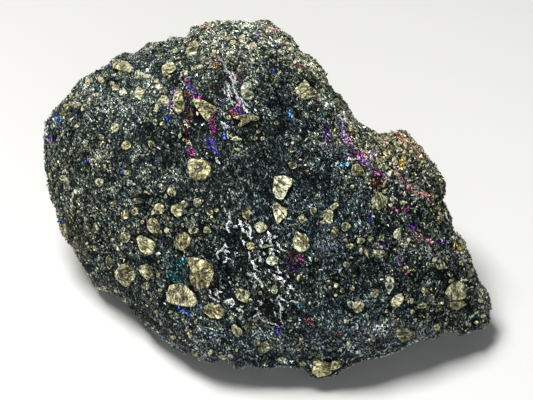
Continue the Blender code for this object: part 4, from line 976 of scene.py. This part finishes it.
def to_grains(points):
    """How far each point is from the nearest grain's edge, in metres: less than 0 inside the grain."""
    gap = np.full(len(points), 0.01)
    tree = KDTree(len(points))
    for k, p in enumerate(points.tolist()):
        tree.insert(p, k)
    tree.balance()
    for centre, _, side, rise, *_ in placed:
        a, b = np.linalg.norm(side), np.linalg.norm(rise)
        close = np.array([k for _, k, _ in tree.find_range(centre, 1.2 * max(a, b) + 0.0008)], int)
        if len(close) == 0:
            continue
        d = points[close] - centre
        gram = np.array([[side @ side, side @ rise], [side @ rise, rise @ rise]])
        q = np.linalg.norm(np.linalg.solve(gram, np.stack([d @ side, d @ rise])), axis=0)
        gap[close] = np.minimum(gap[close], (q - 0.93) * (a + b) / 2)
    return gap


def crystal_colours(place, way, shade, streak, spread):
    """Each crystal's tint: wavy light and dark streaks and a little of its own on top, with painted light and shade:
    darker near the grains' edges and in the darkest streaks, the tones' light and shade, and the brightest crystals
    standing in for glints.
    """
    n = len(place)
    # The tones carry painted light and shade; crystals close to a grain's edge are painted darker, as shade in the gap
    # around it, and those beside a silvery thread are darker too.
    hue = tone_light_and_shade_at(place, way)
    tone = hue[:, 1] * np.clip(0.30 + to_grains(place) / 0.0005, 0.30, 1)
    tone *= 1 - 0.66 * silver_at(place, way)
    hue = hue / hue[:, 1:2]
    wave = weave(place, 0.00036, 0.0010, 61) * 0.56 + weave(place, 0.0011, 0.0028, 65) * 0.50
    wave += weave(place, 0.0024, 0.0055, 68) * 0.20
    spots, seen = grid_of(place), facing(way)
    calm = np.max([near(spots, (x, y), a, b) for x, y, a, b in CALM], axis=0) * seen
    wave *= 1 - 0.74 * calm
    wave = np.minimum(wave, 0) + 1.0 * np.tanh(np.maximum(wave, 0) / 1.0)
    # Painted shade: where the streaks are darkest the crystals are darkened further, standing in for shade in pits
    # between them.
    pit_shade = np.minimum(wave + 0.55, 0) * (1 - 0.7 * calm)
    # Each crystal's own random tone; at its bright end it also stands in for glints, as painted highlights.
    own = rng.normal(0, 1, n) * spread * (1 - 0.62 * calm) * (1 + 0.35 * np.maximum(pit_shade, -1.5))
    shade = np.clip(np.exp(math.log(shade) + streak * wave + 1.35 * pit_shade + own) * tone * 1.50, 0.0015, 0.80)
    depth = np.clip((np.log(shade) - math.log(0.012)) / (math.log(0.40) - math.log(0.012)), 0, 1)[:, None]
    colour = shade[:, None] * (np.array([0.60, 1.00, 1.07]) * (1 - depth) + np.array([0.92, 1.02, 0.89]) * depth)
    warm = (rng.random(n) < 0.13)[:, None]
    colour = np.where(warm, colour * (1.25, 1.08, 0.70), colour) * hue
    colour = colour * (1 + calm[:, None] * np.array([0.26, 0.10, 0.12]))
    film, thick = tarnish_at(place, way)
    broken = np.clip(0.90 + 0.30 * weave(place, 0.0005, 0.0011, 71), 0, 1)
    filmed = (rng.random(n) < thick * broken)[:, None]
    strength = np.exp(rng.normal(-0.05, 0.45, n))[:, None]
    colour = np.where(filmed, film * strength * 0.84 + colour * 0.12, colour * (1 - 0.45 * thick[:, None]))
    return np.concatenate([np.clip(colour, 0, 1), np.clip(rng.normal(0.5, 0.25, n), 0, 1)[:, None]], axis=1)


def laid(place, way, wander, loose_share, pitch, roll):
    """The directions along, across and out of each crystal."""
    n = len(place)
    along = unit(GRAIN_PLAN - way * (way @ GRAIN_PLAN)[:, None] + 1e-6)
    across = np.cross(way, along)
    swing = read_noise(place, 0.006, 41) * wander + rng.normal(0, 0.40, n)
    loose = rng.random(n) < loose_share
    swing[loose] = rng.uniform(0, math.pi, loose.sum())
    along, across = turned(along, across, swing)
    along, up = turned(along, way, rng.normal(0, pitch, n))
    across, up = turned(across, up, rng.normal(0, roll, n))
    return along, across, up


def on_sheet(n, sides, faces_each):
    """A small cell of its own on the sheet for each crystal."""
    side = math.ceil(math.sqrt(n))
    cell = np.stack([np.arange(n) % side, np.arange(n) // side], -1) / side
    inside = np.array([[0.08, 0.08], [0.92, 0.08], [0.08, 0.92]]) / side
    return (cell[:, None, None, :] + inside[None, None]).repeat(faces_each, axis=1).reshape(-1, sides, 2)


def shards(name, count, weight, crowd, long, slim, sunk, loose, shade, streak, spread):
    """Small four-cornered crystals, most of them ridged like a roof, lying on the rock, as one mesh. crowd is how
    much they gather along the streaks."""
    place, way, _ = scatter(int(count * 2.1), weight)
    clear = (to_grains(place) > -0.0001) & (place[:, 2] > 0.0007)
    place, way = place[clear], way[clear]
    liking = crowd * (weave(place, 0.00042, 0.0011, 61) + 0.6 * weave(place, 0.0011, 0.0028, 65))
    liking = liking + rng.normal(0, 1, len(place)) * (1.2 - crowd)
    best = np.argsort(-liking)[:count]
    place, way = place[best], way[best]
    n = len(place)
    along, across, up = laid(place, way, 1.1, loose, 0.22, 0.42)
    length = np.clip(np.exp(rng.normal(math.log(long), 0.38, n)), long * 0.4, long * 2.4)[:, None]
    width = length * slim * rng.uniform(0.65, 1.5, n)[:, None]
    height = width * rng.uniform(0.45, 0.95, n)[:, None]
    ridge = np.where(rng.random(n) < 0.75, 1.0, -1.0)[:, None]
    middle = place + way * (height * sunk)
    slide = along * length * rng.uniform(-0.25, 0.25, n)[:, None]
    verts = np.stack([
        middle - along * length / 2 + up * height * ridge * 0.42,
        middle + along * length / 2 + up * height * ridge * 0.42,
        middle + across * width / 2 - up * height * ridge * 0.42 + slide,
        middle - across * width / 2 - up * height * ridge * 0.42 + slide,
    ], axis=1)
    verts[..., 2] = np.maximum(verts[..., 2], 0.00002)
    edge = verts[:, 1:] - verts[:, :1]
    volume = np.einsum("ij,ij->i", edge[:, 0], np.cross(edge[:, 1], edge[:, 2]))
    faces = np.arange(n)[:, None, None] * 4 + np.array([[0, 2, 1], [0, 1, 3], [0, 3, 2], [1, 2, 3]])
    faces[volume < 0] = faces[volume < 0][:, :, ::-1]
    tint = np.repeat(crystal_colours(place, way, shade, streak, spread), 4, axis=0)
    print(name, n, "shards", n * 4, "triangles")
    return make_mesh(name, verts.reshape(-1, 3), faces.reshape(-1, 3), on_sheet(n, 3, 4), tint, smooth=False)


front_more = np.where(face_way @ W > -0.05, 1.0, 0.62) * np.where(face_spot[:, 2] < 0.0010, 0.02, 1.0)
crust = [
    shards("dark_flakes", 45000, front_more, 0.1, 0.00047, 0.52, 0.20, 0.40, 0.040, 0.75, 0.58),
    shards("streak_crystals_low", 45000, front_more, 0.9, 0.00055, 0.40, 0.50, 0.24, 0.046, 0.90, 0.54),
    shards("streak_crystals_high", 45000, front_more, 1.0, 0.00053, 0.42, 0.90, 0.26, 0.054, 0.95, 0.54),
]

# ---- silvery threads ----------------------------------------------------------------------------------------------
RING = 6
thread_verts, thread_faces, thread_tint, thread_uv = [], [], [], []
thread_count = 0


def on_rock(point):
    """The nearest place on the rock and which way it faces."""
    place, normal, _, _ = rock_tree.find_nearest(Vector(point))
    return np.array(place), np.array(normal)


def thread(line, width, bright, cell):
    """One flattened, knotty thread along a line of places on the rock, with pointed ends."""
    global thread_count
    line = np.asarray(line)
    gaps = np.linalg.norm(np.diff(line, axis=0), axis=1)
    run = np.concatenate([[0], np.cumsum(gaps)])
    line_before = line
    stations = max(3, int(run[-1] / 0.00030) + 1)
    at = np.linspace(0, run[-1], stations)
    line = np.stack([np.interp(at, run, line[:, k]) for k in range(3)], -1)
    line[1:-1] += rng.normal(0, width * 0.16, (stations - 2, 3))
    places, normals = (np.array(v) for v in zip(*(on_rock(p) for p in line), strict=True))
    normal = unit(normals.mean(axis=0))
    way = unit(np.gradient(places, axis=0))
    across = unit(np.cross(normal, way))
    up = np.cross(way, across)
    swell = np.sin(np.linspace(0.14, math.pi - 0.14, stations)) ** 0.45 * rng.uniform(0.62, 1.25, stations)
    wide, thick = width / 2 * swell, width / 2 * swell * rng.uniform(0.6, 1.0, stations)
    middle = places + up * (0.00022 + 0.3 * width)
    turn = np.arange(RING) * 2 * math.pi / RING
    ring = (
        middle[:, None] + across[:, None] * (np.cos(turn)[None, :, None] * wide[:, None, None])
        + up[:, None] * (np.sin(turn)[None, :, None] * thick[:, None, None])
    )
    ring += rng.normal(0, width * 0.07, ring.shape)
    tips = np.stack([middle[0] - way[0] * width * 0.35, middle[-1] + way[-1] * width * 0.35])
    verts = np.concatenate([ring.reshape(-1, 3), tips])
    verts[:, 2] = np.maximum(verts[:, 2], 0.0001)
    i, j = np.meshgrid(np.arange(stations - 1), np.arange(RING), indexing="ij")
    a, b = (i * RING + j).ravel(), (i * RING + (j + 1) % RING).ravel()
    c, d = b + RING, a + RING
    faces = [np.stack([a, b, c], -1), np.stack([a, c, d], -1)]
    j = np.arange(RING)
    start, end = len(verts) - 2, len(verts) - 1
    faces.append(np.stack([(j + 1) % RING, j, np.full(RING, start)], -1))
    last = (stations - 1) * RING
    faces.append(np.stack([last + j, last + (j + 1) % RING, np.full(RING, end)], -1))
    faces = np.concatenate(faces)
    corner = verts[faces]
    if np.einsum("ij,ij->", np.cross(corner[:, 1] - corner[:, 0], corner[:, 2] - corner[:, 0]),
                 corner.mean(axis=1) - verts.mean(axis=0)) < 0:
        faces = faces[:, ::-1]
    shade = bright * np.exp(rng.normal(-0.32, 0.30, len(verts)))
    tint = np.stack([shade * 0.93, shade * 0.98, shade, rng.uniform(0.3, 1.0, len(verts))], -1)
    thread_verts.append(verts)
    thread_faces.append(faces + thread_count)
    thread_tint.append(np.clip(tint, 0, 1))
    thread_uv.append(np.tile(cell, (len(faces), 1, 1)))
    thread_count += len(verts)
    bits = int(run[-1] / 0.00011) + 3
    at = rng.uniform(0, run[-1], bits)
    spots = np.stack([np.interp(at, run, line_before[:, k]) for k in range(3)], -1) + rng.normal(0, width * 0.42, (bits, 3))
    for spot in spots:
        spot, normal = on_rock(spot)
        lie = unit(rng.normal(size=3) - normal * 0.5)
        cross = unit(np.cross(lie, normal) + rng.normal(0, 0.3, 3))
        size = float(np.clip(np.exp(rng.normal(math.log(0.00030), 0.35)), 0.00015, 0.0006))
        middle = spot + normal * rng.uniform(0.0002, 0.0005)
        third = np.cross(lie, cross)
        verts = middle + size * np.stack([
            lie * 0.7 + third * 0.2, -lie * 0.7 + third * 0.2, cross * 0.36 - third * 0.2, -cross * 0.36 - third * 0.2,
        ])
        verts[:, 2] = np.maximum(verts[:, 2], 0.0001)
        faces = np.array([[0, 2, 1], [0, 1, 3], [0, 3, 2], [1, 2, 3]])
        edge = verts[1:] - verts[:1]
        if edge[0] @ np.cross(edge[1], edge[2]) < 0:
            faces = faces[:, ::-1]
        shade = min(1.0, bright * 1.05 * float(np.exp(rng.normal(-0.25, 0.5))))
        thread_verts.append(verts)
        thread_faces.append(faces + thread_count)
        thread_tint.append(np.tile([shade * 0.93, shade * 0.98, shade, rng.uniform(0.3, 1.0)], (4, 1)))
        thread_uv.append(np.tile(cell, (4, 1, 1)))
        thread_count += 4


THREAD_SIDE = 24
cells = iter([
    (np.array([i, j]) + np.array([[0.08, 0.08], [0.92, 0.08], [0.08, 0.92]])) / THREAD_SIDE
    for i in range(THREAD_SIDE) for j in range(THREAD_SIDE)
])
for width, bright, *stations in THREADS:
    hits = [seen_at(x, y) for x, y in stations]
    if all(h is not None for h in hits):
        thread([h[0] for h in hits], width * UNIT * 0.72, bright * 0.85, next(cells))

# On the other sides the threads lie in loose crowds.
crowd = np.clip(read_noise(face_spot, 0.0085, 21) * 3.4 - 1.2, 0, 1)
spread_share = np.where((face_way @ W < 0.1) & (face_spot[:, 2] > 0.004), face_area * (crowd + 0.03), 0)
for k in rng.choice(len(spread_share), size=260, p=spread_share / spread_share.sum()):
    spot, normal = face_spot[k], face_way[k]
    along = unit(GRAIN_PLAN - normal * (normal @ GRAIN_PLAN) + 1e-6)
    side_way = np.cross(normal, along)
    turn = rng.normal(0, 0.5)
    line = [spot]
    for _ in range(int(rng.integers(1, 4))):
        line.append(line[-1] + (along * math.cos(turn) + side_way * math.sin(turn)) * rng.uniform(0.0006, 0.0014))
        turn += rng.normal(0, 0.6)
    if np.any(to_grains(np.array(line)) < 0.0001) or min(p[2] for p in line) < 0.003:
        continue
    thread(line, rng.uniform(0.0003, 0.00055), rng.uniform(0.5, 0.88), next(cells))
threads = make_mesh(
    "silvery_threads", np.concatenate(thread_verts), np.concatenate(thread_faces), np.concatenate(thread_uv),
    np.concatenate(thread_tint), smooth=False,
)
print("threads", len(thread_verts), "triangles", sum(len(f) for f in thread_faces))

# ---- fine brassy flecks -------------------------------------------------------------------------------------------
spots = grid_of(face_spot)
seen = facing(face_way)
fleck_weight = np.where(seen > 0.5, 0.42, 0.75)
for x, y, half_width, half_height, more in (
    (430, 245, 55, 110, 1.1), (370, 170, 60, 60, .8), (130, 80, 90, 45, .45), (255, 45, 60, 35, .7), (75, 200, 30, 90, .4),
    (240, 350, 90, 25, .5), (400, 150, 40, 25, 1.3), (120, 250, 60, 50, .2),
):
    fleck_weight = fleck_weight + more * near(spots, (x, y), half_width, half_height) * seen
fleck_weight = fleck_weight * np.exp(0.9 * np.clip(read_noise(face_spot, 0.0042, 81) / 0.27, -2, 2))
fleck_weight = fleck_weight * np.where(face_spot[:, 2] < 0.0010, 0.02, 1.0)
place, way, _ = scatter(4600, fleck_weight)
clear = to_grains(place) > 0.0
place, way = place[clear], way[clear]
n = len(place)
across = unit(np.cross(way, unit(rng.normal(size=(n, 3)))))
along = np.cross(way, across)
across, up = turned(across, way, rng.normal(0, 0.5, n))
size = np.clip(np.exp(rng.normal(math.log(0.00023), 0.55, n)), 0.0001, 0.00092)[:, None]
long, slim = rng.uniform(0.8, 2.0, (n, 1)), rng.uniform(0.4, 1.0, (n, 1))
middle = place + way * 0.00028
eight = np.stack([
    middle + across * size * long, middle - across * size * long, middle + along * size * slim,
    middle - along * size * slim, middle + up * size * 0.7, middle - up * size * 0.7,
], axis=1)
eight += rng.normal(0, 0.2, eight.shape) * size[:, None]
eight[..., 2] = np.maximum(eight[..., 2], 0.00002)
octa = np.array([[0, 2, 4], [2, 1, 4], [1, 3, 4], [3, 0, 4], [2, 0, 5], [1, 2, 5], [3, 1, 5], [0, 3, 5]])
fleck_faces = (np.arange(n)[:, None, None] * 6 + octa).reshape(-1, 3)
handed = np.einsum("ij,ij->i", np.cross(across, along), up)
if handed.mean() < 0:
    fleck_faces = fleck_faces[:, ::-1]
fleck_tone = np.clip(rng.normal(0.62, 0.25, n), 0.1, 1.0)
fleck_tint = np.repeat(np.stack([fleck_tone, rng.random(n), rng.random(n), np.ones(n)], -1), 6, axis=0)
side = math.ceil(math.sqrt(n))
cell = np.stack([np.arange(n) % side, np.arange(n) // side], -1) / side
inside = np.array([[0.1, 0.1], [0.9, 0.1], [0.1, 0.9]]) / side
fleck_uv = (cell[:, None, None, :] + inside[None, None]).repeat(8, axis=1).reshape(-1, 3, 2)
flecks = make_mesh("brassy_flecks", eight.reshape(-1, 3), fleck_faces, fleck_uv, fleck_tint, smooth=False)

# ---- the rock's own mesh ------------------------------------------------------------------------------------------
film, thick = tarnish_at(rock, rock_normals)
rock_tone_and_shade = tone_light_and_shade_at(rock, rock_normals)
# Painted shade: the rock is darker close to each grain's edge; it is also darker beside the silvery threads, and the
# tones carry painted light and shade.
rock_tone_and_shade *= (np.clip(0.25 + to_grains(rock) / 0.0006, 0.25, 1) * (1 - 0.5 * silver_at(rock, rock_normals)))[:, None]
ground = 0.009 * rock_tone_and_shade * np.array([0.66, 1.0, 1.10])
ground = ground * (1 - 0.6 * thick[:, None]) + film * 0.10 * thick[:, None]
rock_tint = np.concatenate([np.clip(ground, 0, 1), np.ones((len(rock), 1))], axis=1)
matrix = make_mesh("ore_matrix", rock, rock_faces, rock_sheet, rock_tint)
grains = make_mesh("chalcopyrite_grains", grain_verts, grain_faces, grain_uv, grain_tint)


# ---- materials ----------------------------------------------------------------------------------------------------
def new_material(name):
    material = bpy.data.materials.new(name)
    material.use_nodes = True
    nodes, links = material.node_tree.nodes, material.node_tree.links
    return material, nodes, links, nodes["Principled BSDF"]


def put(nodes, kind, **values):
    node = nodes.new(kind)
    for key, value in values.items():
        if hasattr(node, key):
            setattr(node, key, value)
        else:
            node.inputs[key.replace("_", " ")].default_value = value
    return node


def ramp(nodes, *stops):
    node = nodes.new("ShaderNodeValToRGB")
    band = node.color_ramp
    while len(band.elements) < len(stops):
        band.elements.new(0.5)
    for element, (at, colour) in zip(band.elements, stops, strict=True):
        element.position = at
        element.color = (*colour, 1) if len(colour) == 3 else colour
    return node


def rock_ground():
    """Dark rock with fine wavy streaks that run along the crystals."""
    material, nodes, links, shader = new_material("rock_ground")
    shader.inputs["Specular IOR Level"].default_value = 0.04
    tint = put(nodes, "ShaderNodeVertexColor", layer_name="Tint")
    place = nodes.new("ShaderNodeTexCoord")
    lie = nodes.new("ShaderNodeMapping")
    lie.vector_type = "TEXTURE"
    lie.inputs["Rotation"].default_value = tuple(Vector(GRAIN_PLAN).to_track_quat("X", "Z").to_euler())
    lie.inputs["Scale"].default_value = (2.6, 1.0, 1.0)
    links.new(place.outputs["Object"], lie.inputs["Vector"])
    streak = put(nodes, "ShaderNodeTexNoise", Scale=2500.0, Detail=2.0, Roughness=0.6, Distortion=0.5)
    links.new(lie.outputs["Vector"], streak.inputs["Vector"])
    share = ramp(
        nodes, (0.38, (0.04, 0.04, 0.05)), (0.46, (0.35, 0.35, 0.35)), (0.53, (1.0, 1.05, 1.05)), (0.60, (2.2, 2.35, 2.3)),
        (0.70, (4.0, 4.2, 4.0)),
    )
    links.new(streak.outputs["Fac"], share.inputs["Fac"])
    mixed = put(nodes, "ShaderNodeMix", data_type="RGBA", blend_type="MULTIPLY")
    mixed.inputs["Factor"].default_value = 1.0
    links.new(tint.outputs["Color"], mixed.inputs["A"])
    links.new(share.outputs["Color"], mixed.inputs["B"])
    links.new(mixed.outputs["Result"], shader.inputs["Base Color"])
    rough = put(nodes, "ShaderNodeMapRange", data_type="FLOAT")
    rough.inputs["To Min"].default_value = 0.30
    rough.inputs["To Max"].default_value = 0.62
    links.new(streak.outputs["Fac"], rough.inputs["Value"])
    links.new(rough.outputs["Result"], shader.inputs["Roughness"])
    bump = put(nodes, "ShaderNodeBump", Strength=0.8, Distance=0.0004)
    links.new(streak.outputs["Fac"], bump.inputs["Height"])
    links.new(bump.outputs["Normal"], shader.inputs["Normal"])
    return material


def crystal(name, metallic, specular, smoothest, roughest, strong=1.0):
    """Faces tinted one by one and thinly streaked; a tint's alpha is how smooth the crystal is."""
    material, nodes, links, shader = new_material(name)
    shader.inputs["Metallic"].default_value = metallic
    shader.inputs["Specular IOR Level"].default_value = specular
    tint = put(nodes, "ShaderNodeVertexColor", layer_name="Tint")
    place = nodes.new("ShaderNodeTexCoord")
    lie = nodes.new("ShaderNodeMapping")
    lie.vector_type = "TEXTURE"
    lie.inputs["Rotation"].default_value = tuple(Vector(GRAIN_PLAN).to_track_quat("X", "Z").to_euler())
    lie.inputs["Scale"].default_value = (2.4, 1.0, 1.0)
    links.new(place.outputs["Object"], lie.inputs["Vector"])
    grain = put(nodes, "ShaderNodeTexNoise", Scale=3000.0, Detail=1.0, Roughness=0.5, Distortion=0.8)
    links.new(lie.outputs["Vector"], grain.inputs["Vector"])
    stops = ((0.38, 0.02), (0.45, 0.36), (0.50, 0.90), (0.57, 1.75), (0.68, 2.8))
    share = ramp(nodes, *((at, (value**strong,) * 3) for at, value in stops))
    links.new(grain.outputs["Fac"], share.inputs["Fac"])
    mixed = put(nodes, "ShaderNodeMix", data_type="RGBA", blend_type="MULTIPLY")
    mixed.inputs["Factor"].default_value = 1.0
    links.new(tint.outputs["Color"], mixed.inputs["A"])
    links.new(share.outputs["Color"], mixed.inputs["B"])
    links.new(mixed.outputs["Result"], shader.inputs["Base Color"])
    rough = put(nodes, "ShaderNodeMapRange", data_type="FLOAT")
    rough.inputs["To Min"].default_value = roughest
    rough.inputs["To Max"].default_value = smoothest
    links.new(tint.outputs["Alpha"], rough.inputs["Value"])
    links.new(rough.outputs["Result"], shader.inputs["Roughness"])
    return material


def brass(name, fine, metallic):
    """Chalcopyrite: pale brass where fresh, olive to brown where stained, streaked and pitted. Tint's red is how pale
    the grain is, its green is its hue, its blue turns the streaks and its alpha is how near the top's edge is: a
    painted highlight there, and painted shade at the underside's edge."""
    material, nodes, links, shader = new_material(name)
    shader.inputs["Metallic"].default_value = metallic
    shader.inputs["Specular IOR Level"].default_value = 0.4
    tint = put(nodes, "ShaderNodeVertexColor", layer_name="Tint")
    parts = nodes.new("ShaderNodeSeparateColor")
    links.new(tint.outputs["Color"], parts.inputs["Color"])
    place = nodes.new("ShaderNodeTexCoord")
    angle = put(nodes, "ShaderNodeMath", operation="MULTIPLY")
    angle.inputs[1].default_value = 6.283
    links.new(parts.outputs["Blue"], angle.inputs[0])
    spin = nodes.new("ShaderNodeVectorRotate")
    spin.inputs["Axis"].default_value = tuple(W)
    links.new(place.outputs["Object"], spin.inputs["Vector"])
    links.new(angle.outputs["Value"], spin.inputs["Angle"])
    lie = nodes.new("ShaderNodeMapping")
    lie.vector_type = "TEXTURE"
    lie.inputs["Scale"].default_value = (2.4, 1.0, 1.0)
    links.new(spin.outputs["Vector"], lie.inputs["Vector"])
    stain = put(nodes, "ShaderNodeTexNoise", Scale=1500.0 * fine, Detail=4.0, Roughness=0.68, Distortion=0.7)
    links.new(lie.outputs["Vector"], stain.inputs["Vector"])
    patch = put(nodes, "ShaderNodeTexNoise", Scale=420.0 * fine, Detail=2.0)
    links.new(place.outputs["Object"], patch.inputs["Vector"])
    pits = put(nodes, "ShaderNodeTexNoise", Scale=1500.0 * fine, Detail=1.0)
    links.new(place.outputs["Object"], pits.inputs["Vector"])
    hole = ramp(nodes, (0.0, (1, 1, 1)), (0.59, (1, 1, 1)), (0.64, (0.10, 0.10, 0.10)))
    links.new(pits.outputs["Fac"], hole.inputs["Fac"])
    bent = put(nodes, "ShaderNodeTexNoise", Scale=900.0 * fine, Detail=2.0)
    links.new(lie.outputs["Vector"], bent.inputs["Vector"])
    sway = put(nodes, "ShaderNodeVectorMath", operation="MULTIPLY_ADD")
    links.new(bent.outputs["Color"], sway.inputs[0])
    sway.inputs[1].default_value = (0.0009 / fine,) * 3
    links.new(lie.outputs["Vector"], sway.inputs[2])
    cells_of = put(nodes, "ShaderNodeTexVoronoi", feature="DISTANCE_TO_EDGE", Scale=620.0 * fine)
    links.new(sway.outputs["Vector"], cells_of.inputs["Vector"])
    crack = ramp(nodes, (0.0, (0.10, 0.10, 0.10)), (0.035, (0.30, 0.30, 0.30)), (0.10, (1, 1, 1)))
    links.new(cells_of.outputs["Distance"], crack.inputs["Fac"])

    def total(*terms):
        """The sum of the products of outputs and numbers."""
        last = None
        for output, factor in terms:
            node = put(nodes, "ShaderNodeMath", operation="MULTIPLY_ADD")
            links.new(output, node.inputs[0])
            node.inputs[1].default_value = factor
            if last is None:
                node.inputs[2].default_value = 0.0
            else:
                links.new(last, node.inputs[2])
            last = node.outputs["Value"]
        return last

    # 0.5 is the middle tone; the tint's paleness, the top's edge (a painted highlight, with painted shade at the
    # underside's edge) and two noises shift it.
    level = total(
        (stain.outputs["Fac"], 1.30), (patch.outputs["Fac"], 0.75), (parts.outputs["Red"], 0.36),
        (tint.outputs["Alpha"], 0.16),
    )
    level_node = put(nodes, "ShaderNodeMath", operation="SUBTRACT")
    links.new(level, level_node.inputs[0])
    level_node.inputs[1].default_value = 0.855
    colours = ramp(
        nodes, (0.28, (0.014, 0.013, 0.009)), (0.39, (0.075, 0.068, 0.040)), (0.48, (0.28, 0.275, 0.165)),
        (0.57, (0.55, 0.54, 0.34)), (0.68, (0.98, 0.97, 0.76)),
    )
    links.new(level_node.outputs["Value"], colours.inputs["Fac"])
    hue = ramp(
        nodes, (0.0, (1.13, 1.01, 0.72)), (0.25, (1.06, 1.04, 0.91)), (0.7, (1.00, 1.06, 1.02)), (1.0, (0.93, 1.05, 1.12)),
    )
    links.new(parts.outputs["Green"], hue.inputs["Fac"])
    mixed = put(nodes, "ShaderNodeMix", data_type="RGBA", blend_type="MULTIPLY")
    mixed.inputs["Factor"].default_value = 1.0
    links.new(colours.outputs["Color"], mixed.inputs["A"])
    links.new(hue.outputs["Color"], mixed.inputs["B"])
    # Pits and cracks are painted darker, as painted shade in them; the bump below also sinks them.
    pitted = put(nodes, "ShaderNodeMix", data_type="RGBA", blend_type="MULTIPLY")
    pitted.inputs["Factor"].default_value = 1.0
    links.new(mixed.outputs["Result"], pitted.inputs["A"])
    links.new(hole.outputs["Color"], pitted.inputs["B"])
    cracked = put(nodes, "ShaderNodeMix", data_type="RGBA", blend_type="MULTIPLY")
    links.new(patch.outputs["Fac"], cracked.inputs["Factor"])
    links.new(pitted.outputs["Result"], cracked.inputs["A"])
    links.new(crack.outputs["Color"], cracked.inputs["B"])
    links.new(cracked.outputs["Result"], shader.inputs["Base Color"])
    rough = put(nodes, "ShaderNodeMapRange", data_type="FLOAT")
    rough.inputs["To Min"].default_value = 0.66
    rough.inputs["To Max"].default_value = 0.30
    links.new(stain.outputs["Fac"], rough.inputs["Value"])
    links.new(rough.outputs["Result"], shader.inputs["Roughness"])
    deep = put(nodes, "ShaderNodeMath", operation="MULTIPLY")
    links.new(hole.outputs["Color"], deep.inputs[0])
    links.new(crack.outputs["Color"], deep.inputs[1])
    height = put(nodes, "ShaderNodeMath", operation="MULTIPLY")
    links.new(deep.outputs["Value"], height.inputs[0])
    links.new(stain.outputs["Fac"], height.inputs[1])
    bump = put(nodes, "ShaderNodeBump", Strength=1.0, Distance=0.0010 / fine)
    links.new(height.outputs["Value"], bump.inputs["Height"])
    links.new(bump.outputs["Normal"], shader.inputs["Normal"])
    return material


matrix.data.materials.append(rock_ground())
dull, bright = crystal("dark_crystal", 0.0, 0.02, 0.22, 0.50), crystal("light_crystal", 0.0, 0.09, 0.16, 0.42)
for obj, look in zip(crust, (dull, bright, bright), strict=True):
    obj.data.materials.append(look)
threads.data.materials.append(crystal("silvery_faces", 0.20, 0.5, 0.15, 0.45, 0.35))
grains.data.materials.append(brass("chalcopyrite", 1.0, 0.30))
flecks.data.materials.append(brass("chalcopyrite_fleck", 1.6, 0.30))

for obj in (matrix, grains, flecks, threads, *crust):
    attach(obj, "root")
    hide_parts("ore_stone")

# ---- floor, light and camera --------------------------------------------------------------------------------------
floor_mesh = bpy.data.meshes.new("floor")
floor_mesh.from_pydata([(-3, -3, 0), (3, -3, 0), (3, 3, 0), (-3, 3, 0)], [], [(0, 1, 2, 3)])
floor = bpy.data.objects.new("floor", floor_mesh)
bpy.context.scene.collection.objects.link(floor)
floor_look, _, _, floor_shader = new_material("floor_pale")
floor_shader.inputs["Base Color"].default_value = (0.62, 0.62, 0.61, 1)
floor_shader.inputs["Roughness"].default_value = 0.8
floor_mesh.materials.append(floor_look)


def area_light(name, place, size, power, colour=(1, 1, 1)):
    data = bpy.data.lights.new(name, "AREA")
    data.shape = "RECTANGLE"
    data.size, data.size_y = size
    data.energy = power
    data.color = colour
    light = bpy.data.objects.new(name, data)
    light.location = place
    light.rotation_euler = (Vector((0, 0, 0.03)) - Vector(place)).to_track_quat("-Z", "Y").to_euler()
    bpy.context.scene.collection.objects.link(light)
    return light


area_light("key", (-0.22, -0.10, 0.78), (0.32, 0.30), 10.5, (1.0, 0.99, 0.97))
area_light("fill", (0.10, -0.80, 0.28), (0.5, 0.5), 2.8, (0.95, 0.98, 1.0))

world = bpy.data.worlds.new("studio")
world.use_nodes = True
world.node_tree.nodes["Background"].inputs["Color"].default_value = (0.80, 0.82, 0.85, 1)
world.node_tree.nodes["Background"].inputs["Strength"].default_value = 0.11
bpy.context.scene.world = world
bpy.context.scene.view_settings.view_transform = "Standard"

camera_data = bpy.data.cameras.new("camera")
camera_data.sensor_width = 36.0
camera_data.lens = 36.0 * REACH / (533 * UNIT)
camera = bpy.data.objects.new("camera", camera_data)
camera.location = EYE
camera.rotation_euler = Vector(W).to_track_quat("Z", "Y").to_euler()
bpy.context.scene.collection.objects.link(camera)
bpy.context.scene.camera = camera

bpy.context.view_layer.update()
